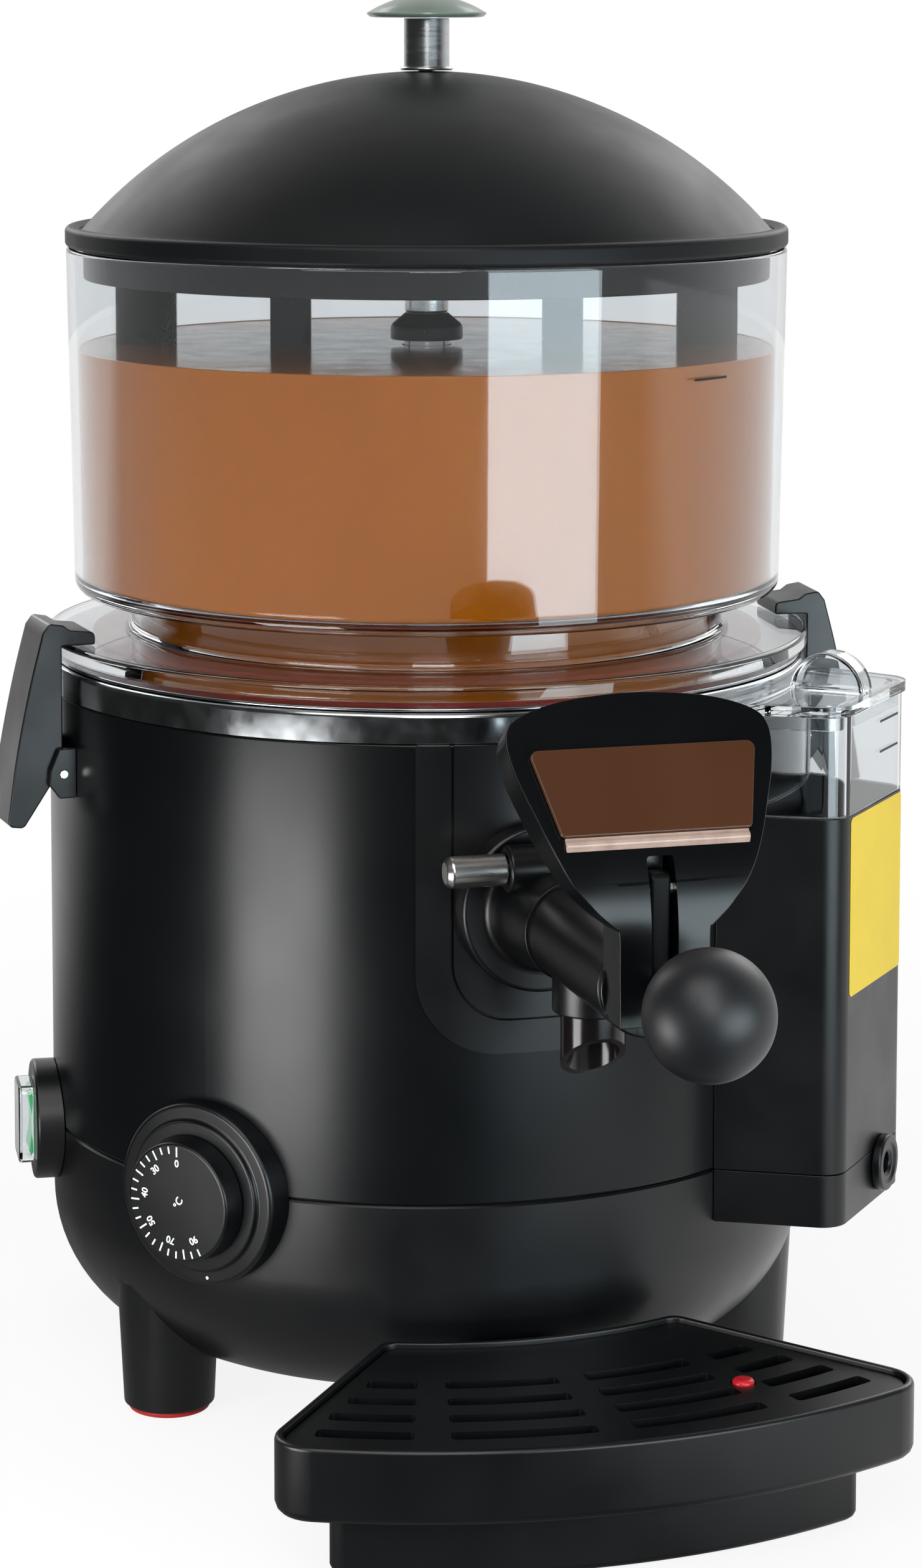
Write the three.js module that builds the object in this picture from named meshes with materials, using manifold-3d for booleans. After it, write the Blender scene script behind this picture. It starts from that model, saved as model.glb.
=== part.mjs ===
// Hot chocolate dispenser: a heated bath under a clear bowl, with a stirring paddle, a front tap,
// a side filling tank and a drip tray. Millimetres, +Z up, the tap points along -Y.
import * as THREE from 'three';
import { mergeVertices } from 'three/addons/utils/BufferGeometryUtils.js';
import Module from 'manifold-3d';

const wasm = await Module();
wasm.setup();

// Clearance between neighbours, overrun of a cut, and the number of sides of round things
const fit = 0.3;
const overrun = 5;
const sides = { large: 32, medium: 16, small: 12, tiny: 8, hex: 6 };
const arcSteps = 4;
const sweepSteps = 5;

// Casing: a steel shell over a moulded base whose lower edge is one large fillet
const body = { radius: 131, top: 238, seam: 88, wall: 1.6 };
const base = { side: 27, fillet: 46.5, wall: 3, opening: 62, tongueRise: 7, tongueDrop: 8, tongueWall: 2.5 };
const leg = { topRadius: 16, bottomRadius: 14.5, reach: 111, bossRise: 32, frontAngle: 67, rearAngle: 136 };
const foot = { radius: 13.5, height: 4, plugRadius: 6, plugRise: 9 };
const underPlate = { lap: 8, thickness: 1.2 };
const underScrew = { count: 3, shankRadius: 1.6, length: 8, headRadius: 3.2, headHeight: 2, inset: 4 };
const gland = { angle: 180, drop: 13.5, flangeRadius: 10, flange: 2.6, noseRadius: 7, nose: 11, bore: 4, tail: 8 };

// Water bath, chocolate well and clear bowl, all turned round the same axis
const bath = { rim: 9.7, rimWidth: 12, wall: 1, floorRise: 42, corner: 6, tubeRadius: 6.4, tubeRise: 166 };
const well = { radius: 99.2, wall: 1, flangeReach: 129.5, floorDrop: 70, corner: 5, chimneyRadius: 8, chimneyTop: 358.5 };
const outlet = { height: 186, radius: 9, bore: 7, reach: 150 };
const gasket = { inner: 100, width: 8, thickness: 1.5 };
const bowl = {
  flangeRadius: 132, flange: 5.6, neckRadius: 102.5, neck: 11.5, shoulder: 4.5,
  footRadius: 122.3, rimRadius: 124, height: 131.2, wall: 3, edge: 1,
};
const heater = { ringRadius: 70, tubeRadius: 4, pinRadius: 2.5, pinDrop: 18, pinAngle: 12 };
const bush = { length: 9, lip: 1.5, radius: 5.1 };

// Drive: a gearmotor hangs under a strap across the casing and turns a shaft up the middle
const strap = { width: 60, thickness: 2, relief: 10 };
const gearmotor = { box: 64, height: 24, boreDepth: 12, motorRadius: 23, motorHeight: 36, motorOffset: 6 };
const shaft = { radius: 4, sleeveRadius: 7.5, sleeveFrom: 365.3, sleeveTo: 383.7, top: 399 };
const collar = { radius: 12.5, height: 9, crown: 7.5 };
const paddle = {
  angle: -15.5, thickness: 4, reach: 107.5, outerBlade: 21, innerReach: 54, innerBlade: 14,
  armRise: 8, outerBottom: 276, innerBottom: 186, rail: 11, hubRadius: 9, hubRise: 12,
};
const nut = { radius: 6.5, height: 5 };

// Lid: a domed cover with a rolled edge, a stem and a mushroom knob
const lid = {
  domeRadius: 157, peak: 448, shoulder: 119.2, wall: 2.2, beadRadius: 124.3, beadHeight: 7.1,
  beadCurl: 2.2, skirtRadius: 118, skirt: 10.5, screwHole: 3.2,
};
const stem = { radius: 7.8, height: 17.7, footRadius: 9, footHeight: 1.2 };
const knob = { radius: 20.5, height: 7.7, edge: 1.6 };

// Tap: flange, barrel and pin boss are one casting; the head in front of it carries the lever
const surround = { halfWidth: 39, bottom: 138, corner: 26, thickness: 1.3 };
const panel = { halfWidth: 27, bottom: 149.5, corner: 18, gap: 0.8, thickness: 1.3 };
const tap = {
  flangeRadius: 27, flangeReach: 140, neckRadius: 18, neckReach: 168, radius: 15,
  bore: 12, seatBore: 6, seat: 4, ringRadius: 16, ringWidth: 3,
};
const pinBoss = { rise: 16, ahead: 10, radius: 7.5, halfLength: 16 };
const pin = { radius: 5, handle: 19.5, shankRadius: 3, shankLength: 27 };
const spout = { reach: 190, radius: 10, wall: 2, bottom: 143.5, cut: 16, socketRadius: 12.6, socketDrop: 5 };
const head = {
  front: 257, back: 240.4, knee: 219.6, lean: 32.7, bottom: 178, blockHalf: 13.8,
  shell: 3, depth: 11, slot: 8.2, slotTop: 227, slotBack: 3.2, swing: 1.6, edge: 2,
};
const lever = { pivotReach: 250.2, pivotHeight: 217, bladeWidth: 7.4, bladeDepth: 9, bladeTop: 5, bladeBottom: 183.5 };
const leverPin = { radius: 2, halfLength: 13 };
const neck = { radius: 5, from: 252, height: 189.5 };
const ball = { radius: 19, stand: 19, height: 190.8, socket: 8 };
const badge = { topHalf: 35, bottomHalf: 28, from: 11.2, to: 42.7, thickness: 1.4, corner: 2.5 };
const valve = { rodRadius: 2.5, sealRadius: 8, seal: 5, collarRadius: 7.5, collar: 2, collarAt: 9 };
const spring = { coilRadius: 8.4, wire: 1.2, wireSides: 5, turns: 7, ahead: 12.4, clearFront: 1.5 };

// Toggle latches, outlined in the plane through the machine's axis
const latch = {
  angle: 85.5, pivotReach: 134.5, pivotHeight: 214.5, width: 24, knuckle: 2.9, pinRadius: 1.4,
  hookInner: 122.5, hookTop: 7.4, backReach: 134, outerReach: 139.5, tipReach: 153, tipHeight: 199,
};
const cheek = { thickness: 2.5, reach: 139.5, bottom: 206, top: 223, bridge: 4.5, bridgeReach: 133.6 };

// Thermostat dial and mains switch on the left of the casing
const dial = {
  angle: -48.5, height: 87, ringRadius: 30, ringReach: 137.5, stepRadius: 24.5, stepReach: 139.3,
  knobRadius: 20.5, faceRadius: 19.4, faceReach: 147.6, stemRadius: 3, stemBack: 118,
};
const thermostat = { radius: 15, back: 98, front: 124.4 };
const rocker = {
  angle: -95, height: 86.5, bezelRadius: 20.5, bezelReach: 139, bodyRadius: 14, bodyBack: 108,
  width: 13.6, length: 22, back: 126, crown: 140.8, coverWidth: 19, coverLength: 27,
  coverReach: 144.4, coverWall: 1.2, pocketBack: 124, corner: 3,
};

// Side tank, wider at the casing than at its outer face
const tank = {
  angle: 49, reach: 165, outerHalf: 31.5, taper: 13.5, corner: 9, inward: 110, wall: 2.5,
  bottom: 70.5, floor: 3, top: 207, windowTop: 240.5,
};
const tankLid = { thickness: 3.5, overhang: 1.3, lip: 5, lipWall: 1.6 };
const grip = { inset: 16, radius: 13, thickness: 10, wall: 1.8 };
const drain = { height: 82.5, offset: 9, radius: 9.5, flange: 3.2, stemRadius: 4.5, stem: 9, socket: 3.6, socketDepth: 5 };
const spigot = { height: 142, radius: 5, bore: 3.5, reach: 140 };

// Drip tray: a fan shape concentric with the casing, and its slotted grate and float
const tray = {
  frontRadius: 231, backRadius: 134, backHalf: 49.4, splay: 37, corner: 13, backCorner: 5,
  rim: 46, skirt: 18, wall: 2.6, footInset: 9, floor: 3, ledge: 3, ledgeTop: 40,
  tongueHalf: 20, tongueReach: 74, tongue: 4,
};
const grate = {
  thickness: 2.8, rows: 4, firstRowShare: 0.371, pitchShare: 0.1495, slot: 6.5, ribAngle: 15, ribHalf: 1.5, outerAngle: 24.5,
};
const float = { reachShare: 0.625, angle: 15, radius: 3.5, crown: 44.6, discRadius: 8, disc: 7, hole: 0.5 };

const degrees = Math.PI / 180;
const floorZ = body.seam - base.side - base.fillet;
const innerRadius = body.radius - body.wall;
const skinCut = body.radius + fit;
const bathTop = body.top + fit + bath.rim;
const wellFlangeTop = bathTop + fit + well.wall;
const gasketTop = wellFlangeTop + fit + gasket.thickness;
const bowlBottom = gasketTop + fit;
const flangeTop = bowlBottom + bowl.flange;
const bowlTop = bowlBottom + bowl.height + bowl.flange;
const lidBottom = bowlTop + fit;
const ballReach = head.front + ball.stand + ball.radius;
const bossReach = tap.flangeReach + pinBoss.ahead;
const trayDepth = tray.frontRadius - tray.backRadius;
const floatReach = tray.backRadius + trayDepth * float.reachShare;

// Geometry helpers

function toSolid(geometry) {
  const bare = geometry.index ? geometry.clone() : geometry;
  bare.deleteAttribute('normal');
  bare.deleteAttribute('uv');
  const merged = mergeVertices(bare);
  const triangles = [];
  for (let i = 0; i < merged.index.count; i += 3) {
    const corner = [merged.index.getX(i), merged.index.getX(i + 1), merged.index.getX(i + 2)];
    const flat = corner[0] === corner[1] || corner[1] === corner[2] || corner[0] === corner[2];
    if (!flat) triangles.push(...corner);
  }
  return new wasm.Manifold(new wasm.Mesh({
    numProp: 3,
    vertProperties: new Float32Array(merged.attributes.position.array),
    triVerts: new Uint32Array(triangles),
  }));
}

function toGeometry(solid) {
  const mesh = solid.getMesh();
  const geometry = new THREE.BufferGeometry();
  geometry.setAttribute('position', new THREE.BufferAttribute(mesh.vertProperties, 3));
  geometry.setIndex(new THREE.BufferAttribute(mesh.triVerts, 1));
  const flat = geometry.toNonIndexed();
  flat.computeVertexNormals();
  return flat;
}

// A closed outline of [radius, height] points turned round the Z axis
function turned(outline, count = sides.large) {
  let area = 0;
  outline.forEach(([r, z], i) => {
    const [nextR, nextZ] = outline[(i + 1) % outline.length];
    area += r * nextZ - nextR * z;
  });
  const ordered = area > 0 ? [...outline] : [...outline].reverse();
  ordered.push(ordered[0]);
  const points = ordered.map(([r, z]) => new THREE.Vector2(r, z));
  const geometry = new THREE.LatheGeometry(points, count);
  geometry.rotateX(Math.PI / 2);
  return toSolid(geometry);
}

// A cylinder or cone along an axis: 'x' and 'z' run up that axis, 'out' runs along -Y away from the machine
function round(axis, from, to, radius, count = sides.medium, endRadius = radius) {
  const geometry = new THREE.CylinderGeometry(endRadius, radius, to - from, count);
  geometry.translate(0, (from + to) / 2, 0);
  if (axis === 'z') geometry.rotateX(Math.PI / 2);
  if (axis === 'x') geometry.rotateZ(-Math.PI / 2);
  if (axis === 'out') geometry.rotateX(Math.PI);
  return toSolid(geometry);
}

function extruded(shape, depth, steps = arcSteps) {
  return new THREE.ExtrudeGeometry(shape, { depth, bevelEnabled: false, curveSegments: steps });
}

// A plan outline of [x, y] points raised from one height to another
function raised(outline, from, to) {
  return toSolid(extruded(shapeOf(outline), to - from).translate(0, 0, from));
}

// A front-view outline of [x, z] points, thickened outward between two distances from the machine's axis
function fronted(outline, from, to) {
  const geometry = extruded(shapeOf(outline), to - from);
  const turn = new THREE.Matrix4().makeBasis(
    new THREE.Vector3(1, 0, 0), new THREE.Vector3(0, 0, 1), new THREE.Vector3(0, -1, 0));
  geometry.applyMatrix4(turn).translate(0, -from, 0);
  return toSolid(geometry);
}

// A side-view outline of [reach, z] points, thickened across the middle plane
function sided(outline, width, across = 0) {
  const geometry = extruded(shapeOf(outline), width);
  geometry.translate(0, 0, -width / 2);
  const turn = new THREE.Matrix4().makeBasis(
    new THREE.Vector3(0, -1, 0), new THREE.Vector3(0, 0, 1), new THREE.Vector3(-1, 0, 0));
  geometry.applyMatrix4(turn).translate(across, 0, 0);
  return toSolid(geometry);
}

function shapeOf(outline) {
  return new THREE.Shape(outline.map(([x, y]) => new THREE.Vector2(x, y)));
}

// Points [x, y, radius]: each corner with a radius becomes an arc
function rounded(corners, steps = arcSteps) {
  const outline = [];
  corners.forEach(([x, y, radius = 0], i) => {
    const at = new THREE.Vector2(x, y);
    const before = new THREE.Vector2(...corners[(i + corners.length - 1) % corners.length].slice(0, 2)).sub(at);
    const after = new THREE.Vector2(...corners[(i + 1) % corners.length].slice(0, 2)).sub(at);
    if (!radius) {
      outline.push([x, y]);
      return;
    }
    const half = Math.acos(before.clone().normalize().dot(after.clone().normalize())) / 2;
    const middle = before.clone().normalize().add(after.clone().normalize()).normalize();
    const centre = at.clone().addScaledVector(middle, radius / Math.sin(half));
    const tangent = radius / Math.tan(half);
    const start = at.clone().addScaledVector(before.normalize(), tangent).sub(centre).angle();
    const end = at.clone().addScaledVector(after.normalize(), tangent).sub(centre).angle();
    const turn = Math.atan2(Math.sin(end - start), Math.cos(end - start));
    for (let k = 0; k <= steps; k += 1) {
      const angle = start + turn * k / steps;
      outline.push([centre.x + radius * Math.cos(angle), centre.y + radius * Math.sin(angle)]);
    }
  });
  return outline;
}

function arc(centreX, centreY, radius, fromAngle, toAngle, steps = arcSteps) {
  const outline = [];
  for (let k = 0; k <= steps; k += 1) {
    const angle = (fromAngle + (toAngle - fromAngle) * k / steps) * degrees;
    outline.push([centreX + radius * Math.cos(angle), centreY + radius * Math.sin(angle)]);
  }
  return outline;
}

const spun = (solid, angle) => solid.rotate([0, 0, angle]);
const skin = (radius, from, to) => round('z', from, to, radius, sides.large * 2);

const machine = new THREE.Group();

function finish(color, roughness, metalness = 0, opacity = 1) {
  return new THREE.MeshStandardMaterial({ color, roughness, metalness, opacity, transparent: opacity < 1 });
}

const black = () => finish(0x101215, 0.38);
const blackPaint = () => finish(0x0e1013, 0.32, 0.1);
const steel = () => finish(0xc4c6c8, 0.25, 1);
const clear = () => finish(0xf2f4f4, 0.05, 0, 0.25);
const rubber = () => finish(0x7c1f1c, 0.7);

function add(name, solid, material) {
  const mesh = new THREE.Mesh(toGeometry(solid), material);
  mesh.name = name;
  machine.add(mesh);
  return mesh;
}

// Casing

function holesThroughSkin() {
  const from = innerRadius - base.tongueWall - overrun;
  const to = body.radius + overrun;
  const dialHole = spun(round('out', from, to, dial.stemRadius + fit).translate([0, 0, dial.height]), dial.angle);
  const switchHole = spun(round('out', from, to, rocker.bodyRadius + fit).translate([0, 0, rocker.height]), rocker.angle);
  return dialHole.add(switchHole);
}

function bodyShell() {
  const tube = turned([
    [innerRadius, body.seam + fit], [body.radius, body.seam + fit], [body.radius, body.top], [innerRadius, body.top],
  ]);
  const from = innerRadius - overrun;
  const to = body.radius + overrun;
  const outletHole = round('out', from, to, outlet.radius + fit).translate([0, 0, outlet.height]);
  const spigotHole = spun(round('out', from, to, spigot.radius + fit).translate([0, 0, spigot.height]), tank.angle);
  return tube.subtract(holesThroughSkin()).subtract(outletHole).subtract(spigotHole);
}

function legPlaces() {
  return [-leg.frontAngle, leg.frontAngle, leg.rearAngle, -leg.rearAngle];
}

function baseMoulding() {
  const flat = body.radius - base.fillet;
  const filletZ = floorZ + base.fillet;
  const tongueRadius = innerRadius - fit;
  const shell = turned([
    [base.opening, floorZ],
    ...arc(flat, filletZ, base.fillet, -90, 0, sweepSteps),
    [body.radius, body.seam],
    [tongueRadius, body.seam],
    [tongueRadius, body.seam + base.tongueRise],
    [tongueRadius - base.tongueWall, body.seam + base.tongueRise],
    [tongueRadius - base.tongueWall, body.seam - base.tongueDrop],
    [body.radius - base.wall, body.seam - base.tongueDrop - base.wall],
    ...arc(flat, filletZ, base.fillet - base.wall, 0, -90, sweepSteps),
    [base.opening, floorZ + base.wall],
  ]);
  const glandHole = spun(round('out', innerRadius - overrun * 2, body.radius + overrun, gland.noseRadius + fit)
    .translate([0, 0, body.seam - gland.drop]), gland.angle);
  let moulding = shell.subtract(holesThroughSkin()).subtract(glandHole);
  for (const angle of legPlaces()) {
    const bottom = foot.height + fit;
    const post = round('z', bottom, floorZ + leg.bossRise, leg.bottomRadius, sides.medium, leg.topRadius);
    const bore = round('z', bottom - overrun, bottom + foot.plugRise, foot.plugRadius + fit, sides.small);
    moulding = moulding.add(spun(post.translate([0, -leg.reach, 0]), angle));
    moulding = moulding.subtract(spun(bore.translate([0, -leg.reach, 0]), angle));
  }
  return moulding.subtract(underScrewCuts());
}

function underScrewCuts() {
  const radius = base.opening + underScrew.inset;
  let cuts = null;
  for (let i = 0; i < underScrew.count; i += 1) {
    const bore = round('z', floorZ - overrun, floorZ + base.wall + overrun, underScrew.shankRadius + fit, sides.tiny);
    const placed = spun(bore.translate([0, -radius, 0]), i * 360 / underScrew.count);
    cuts = cuts ? cuts.add(placed) : placed;
  }
  return cuts;
}

function rubberFoot() {
  return turned([
    [0, 0], [foot.radius - foot.height / 4, 0], [foot.radius, foot.height / 4], [foot.radius, foot.height],
    [foot.plugRadius, foot.height], [foot.plugRadius, foot.height + foot.plugRise], [0, foot.height + foot.plugRise],
  ], sides.small);
}

add('body_shell', bodyShell(), blackPaint());
add('base_moulding', baseMoulding(), black());

legPlaces().forEach((angle, i) => {
  add(`foot_${i + 1}`, spun(rubberFoot().translate([0, -leg.reach, 0]), angle), rubber());
});

const plateTop = floorZ - fit;
const plate = round('z', plateTop - underPlate.thickness, plateTop, base.opening + underPlate.lap, sides.large);
add('bottom_plate', plate.subtract(underScrewCuts()), finish(0x8d9092, 0.4, 1));

for (let i = 0; i < underScrew.count; i += 1) {
  const headTop = plateTop - underPlate.thickness - fit;
  const screw = turned([
    [0, headTop - underScrew.headHeight], [underScrew.headRadius, headTop - underScrew.headHeight],
    [underScrew.headRadius, headTop], [underScrew.shankRadius, headTop],
    [underScrew.shankRadius, headTop + underScrew.length], [0, headTop + underScrew.length],
  ], sides.tiny);
  const placed = screw.translate([0, -base.opening - underScrew.inset, 0]);
  add(`bottom_screw_${i + 1}`, spun(placed, i * 360 / underScrew.count), steel());
}

function cableGland() {
  const z = body.seam - gland.drop;
  const flange = round('out', body.radius - overrun, body.radius + gland.flange, gland.flangeRadius)
    .translate([0, 0, z]).subtract(skin(skinCut, z - body.radius, z + body.radius));
  const noseEnd = body.radius + gland.flange + gland.nose;
  const nose = round('out', body.radius - base.wall - gland.tail, noseEnd, gland.noseRadius).translate([0, 0, z]);
  const bore = round('out', body.radius - body.radius / 2, noseEnd + overrun, gland.bore, sides.small);
  return spun(flange.add(nose).subtract(bore.translate([0, 0, z])), gland.angle);
}

add('cable_gland', cableGland(), finish(0x17191b, 0.6));

// Bath, well, gasket and bowl

function bathPan() {
  const inner = body.radius - bath.rimWidth;
  const outer = inner + bath.wall;
  const floor = body.seam + bath.floorRise;
  const tubeTop = floor + bath.tubeRise;
  const tubeBore = bath.tubeRadius - bath.wall;
  const pan = turned([
    [body.radius, body.top + fit], [body.radius, bathTop - bath.wall], [body.radius - bath.wall, bathTop],
    [inner, bathTop], [inner, floor + bath.corner], [inner - bath.corner, floor],
    [bath.tubeRadius, floor], [bath.tubeRadius, tubeTop], [tubeBore, tubeTop], [tubeBore, floor - bath.wall],
    [inner - bath.corner, floor - bath.wall], [outer, floor + bath.corner - bath.wall],
    [outer, bathTop - bath.wall], [body.radius - bath.wall, bathTop - bath.wall * 2],
    [body.radius - bath.wall, body.top + fit],
  ]);
  const pipe = round('out', inner + bath.wall / 2, spigot.reach, spigot.radius, sides.small);
  const bore = round('out', inner - overrun, spigot.reach + overrun, spigot.bore, sides.small);
  const outletHole = round('out', inner - overrun, outer + overrun, outlet.radius + fit).translate([0, 0, outlet.height]);
  return pan.add(spun(pipe.translate([0, 0, spigot.height]), tank.angle))
    .subtract(spun(bore.translate([0, 0, spigot.height]), tank.angle))
    .subtract(outletHole);
}

function steelWell() {
  const top = wellFlangeTop;
  const inner = well.radius - well.wall;
  const floor = top - well.wall - well.floorDrop;
  const bottom = floor - well.wall - well.corner;
  const wet = bottom + well.wall;
  const chimneyBore = well.chimneyRadius - well.wall;
  const vessel = turned([
    [well.flangeReach, top], [well.flangeReach, top - well.wall], [well.radius, top - well.wall],
    [well.radius, floor], [well.radius - well.corner, bottom], [chimneyBore, bottom],
    [chimneyBore, well.chimneyTop], [well.chimneyRadius, well.chimneyTop], [well.chimneyRadius, wet],
    [inner - well.corner, wet], [inner, floor], [inner, top],
  ]);
  const bore = round('out', inner - overrun, outlet.reach, outlet.bore);
  return vessel.subtract(bore.translate([0, 0, outlet.height]));
}

// The pipe is fitted to the well's round wall
function outletPipe() {
  const pipe = round('out', well.radius - well.wall, outlet.reach, outlet.radius)
    .subtract(round('out', well.radius - well.wall * 2, outlet.reach + overrun, outlet.bore));
  return pipe.translate([0, 0, outlet.height])
    .subtract(skin(well.radius + fit, outlet.height - outlet.radius * 2, outlet.height + outlet.radius * 2));
}

function clearBowl() {
  const neckInner = bowl.neckRadius - bowl.wall;
  const neckTop = flangeTop + bowl.neck;
  const shoulderTop = neckTop + bowl.shoulder;
  return turned([
    [neckInner, bowlBottom], [bowl.flangeRadius - bowl.edge, bowlBottom],
    [bowl.flangeRadius, bowlBottom + bowl.edge], [bowl.flangeRadius, flangeTop - bowl.edge],
    [bowl.flangeRadius - bowl.edge, flangeTop], [bowl.neckRadius + bowl.edge, flangeTop],
    [bowl.neckRadius, flangeTop + bowl.edge], [bowl.neckRadius, neckTop],
    [bowl.neckRadius + bowl.edge, neckTop + bowl.edge], [bowl.footRadius - bowl.shoulder, neckTop + bowl.edge * 2],
    [bowl.footRadius, shoulderTop + bowl.edge], [bowl.rimRadius, bowlTop],
    [bowl.rimRadius - bowl.wall, bowlTop], [bowl.footRadius - bowl.wall, shoulderTop + bowl.wall],
    [bowl.footRadius - bowl.shoulder - bowl.wall, neckTop + bowl.edge * 2 + bowl.wall],
    [neckInner + bowl.edge, neckTop + bowl.edge + bowl.wall], [neckInner, neckTop + bowl.wall],
  ]);
}

add('bath_pan', bathPan(), steel());
add('steel_well', steelWell(), steel());
add('outlet_pipe', outletPipe(), steel());
add('bowl_gasket', turned([
  [gasket.inner, wellFlangeTop + fit], [gasket.inner + gasket.width, wellFlangeTop + fit],
  [gasket.inner + gasket.width, gasketTop], [gasket.inner, gasketTop],
]), rubber());
add('bowl', clearBowl(), clear());

function heaterRing() {
  const z = body.seam + bath.floorRise - bath.wall - fit - heater.tubeRadius;
  const ring = toSolid(new THREE.TorusGeometry(heater.ringRadius, heater.tubeRadius, sides.tiny, sides.medium)).translate([0, 0, z]);
  const pins = [-heater.pinAngle, heater.pinAngle].map((angle) => spun(
    round('z', z - heater.pinDrop, z, heater.pinRadius, sides.tiny).translate([0, heater.ringRadius, 0]), angle));
  return ring.add(pins[0]).add(pins[1]);
}

add('heater_ring', heaterRing(), finish(0x6f6a64, 0.45, 1));

// Drive and mixer

const strapBottom = body.seam + base.tongueRise + fit;
const strapReach = innerRadius - fit;
const strapPlate = round('z', strapBottom, strapBottom + strap.thickness, strapReach, sides.large)
  .intersect(raised([
    [-strap.width / 2, -body.radius], [strap.width / 2, -body.radius],
    [strap.width / 2, body.radius], [-strap.width / 2, body.radius],
  ], strapBottom - overrun, strapBottom + overrun))
  .subtract(round('z', strapBottom - overrun, strapBottom + overrun, strap.relief));
add('motor_strap', strapPlate, finish(0xa9abad, 0.35, 1));

function gearMotor() {
  const top = strapBottom - fit;
  const box = new THREE.BoxGeometry(gearmotor.box, gearmotor.box, gearmotor.height);
  box.translate(0, 0, top - gearmotor.height / 2);
  const motorTop = top - gearmotor.height;
  const motor = round('z', motorTop - gearmotor.motorHeight, motorTop + fit, gearmotor.motorRadius)
    .translate([0, gearmotor.motorOffset, 0]);
  const bore = round('z', top - gearmotor.boreDepth, top + overrun, shaft.radius + fit);
  return toSolid(box).add(motor).subtract(bore);
}

const shaftBottom = strapBottom - gearmotor.boreDepth;
const armBottom = shaft.sleeveTo + fit;
const shaftBar = turned([
  [0, shaftBottom], [shaft.radius, shaftBottom], [shaft.radius, shaft.sleeveFrom],
  [shaft.sleeveRadius, shaft.sleeveFrom], [shaft.sleeveRadius, shaft.sleeveTo],
  [shaft.radius, shaft.sleeveTo], [shaft.radius, shaft.top], [0, shaft.top],
], sides.medium);

add('gearmotor', gearMotor(), finish(0x777b80, 0.4, 0.8));
add('drive_shaft', shaftBar, steel());

const bushTop = body.seam + bath.floorRise + bath.tubeRise + fit + bush.lip;
add('shaft_bush', turned([
  [shaft.radius + fit, bushTop - bush.length], [bush.radius, bushTop - bush.length],
  [bush.radius, bushTop - bush.lip], [bath.tubeRadius, bushTop - bush.lip],
  [bath.tubeRadius, bushTop], [shaft.radius + fit, bushTop],
], sides.medium), finish(0xb08a4a, 0.4, 1));

const collarTop = shaft.sleeveFrom - fit;
add('splash_collar', turned([
  [well.chimneyRadius + fit * 2, collarTop - collar.height], [collar.radius, collarTop - collar.height],
  [collar.radius, collarTop - collar.height / 2], [collar.crown, collarTop], [shaft.radius + fit, collarTop],
  [shaft.radius + fit, well.chimneyTop + fit * 2], [well.chimneyRadius + fit * 2, well.chimneyTop + fit * 2],
], sides.medium), black());

// One side of the stirring frame, from the hub outward
function stirringFrame() {
  const armTop = armBottom + paddle.armRise;
  const innerFrom = paddle.innerReach - paddle.innerBlade;
  const outerFrom = paddle.reach - paddle.outerBlade;
  const railTop = paddle.outerBottom + paddle.rail;
  const side = [
    [0, armBottom], [innerFrom, armBottom], [innerFrom, paddle.innerBottom], [paddle.innerReach, paddle.innerBottom],
    [paddle.innerReach, paddle.outerBottom], [paddle.reach, paddle.outerBottom], [paddle.reach, armTop], [0, armTop],
  ];
  const half = fronted(side, -paddle.thickness / 2, paddle.thickness / 2);
  const gap = fronted([
    [paddle.innerReach, railTop], [outerFrom, railTop], [outerFrom, armBottom], [paddle.innerReach, armBottom],
  ], -paddle.thickness, paddle.thickness);
  const wing = half.subtract(gap);
  const hub = round('z', armBottom, armBottom + paddle.hubRise, paddle.hubRadius);
  const bore = round('z', armBottom - overrun, armBottom + paddle.hubRise + overrun, shaft.radius + fit);
  return wing.add(wing.rotate([0, 0, 180])).add(hub).subtract(bore);
}

const hubTop = armBottom + paddle.hubRise;
add('mixer_paddle', spun(stirringFrame(), paddle.angle), black());
add('mixer_nut', turned([
  [0, hubTop + nut.height], [nut.radius / 2, hubTop + nut.height], [nut.radius, hubTop + nut.height / 2],
  [nut.radius, hubTop + fit], [shaft.radius + fit, hubTop + fit], [shaft.radius + fit, shaft.top + fit],
  [0, shaft.top + fit],
], sides.small), steel());

// Lid, stem and knob

function lidShell() {
  const centre = lid.peak - lid.domeRadius;
  const angleAt = (radius, dome) => Math.acos(radius / dome) / degrees;
  const innerDome = lid.domeRadius - lid.wall;
  const skirtInner = lid.skirtRadius - lid.wall;
  return turned([
    ...arc(0, centre, lid.domeRadius, angleAt(lid.screwHole, lid.domeRadius), angleAt(lid.shoulder, lid.domeRadius), sweepSteps),
    [lid.shoulder + lid.beadCurl, lidBottom + lid.beadHeight], [lid.beadRadius - lid.beadCurl / 2, lidBottom + lid.beadHeight],
    [lid.beadRadius, lidBottom + lid.beadHeight - lid.beadCurl], [lid.beadRadius, lidBottom + lid.beadCurl],
    [lid.beadRadius - lid.beadCurl / 2, lidBottom], [lid.skirtRadius, lidBottom],
    [lid.skirtRadius, lidBottom - lid.skirt], [skirtInner, lidBottom - lid.skirt],
    ...arc(0, centre, innerDome, angleAt(skirtInner, innerDome), angleAt(lid.screwHole, innerDome), sweepSteps),
  ]);
}

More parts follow.
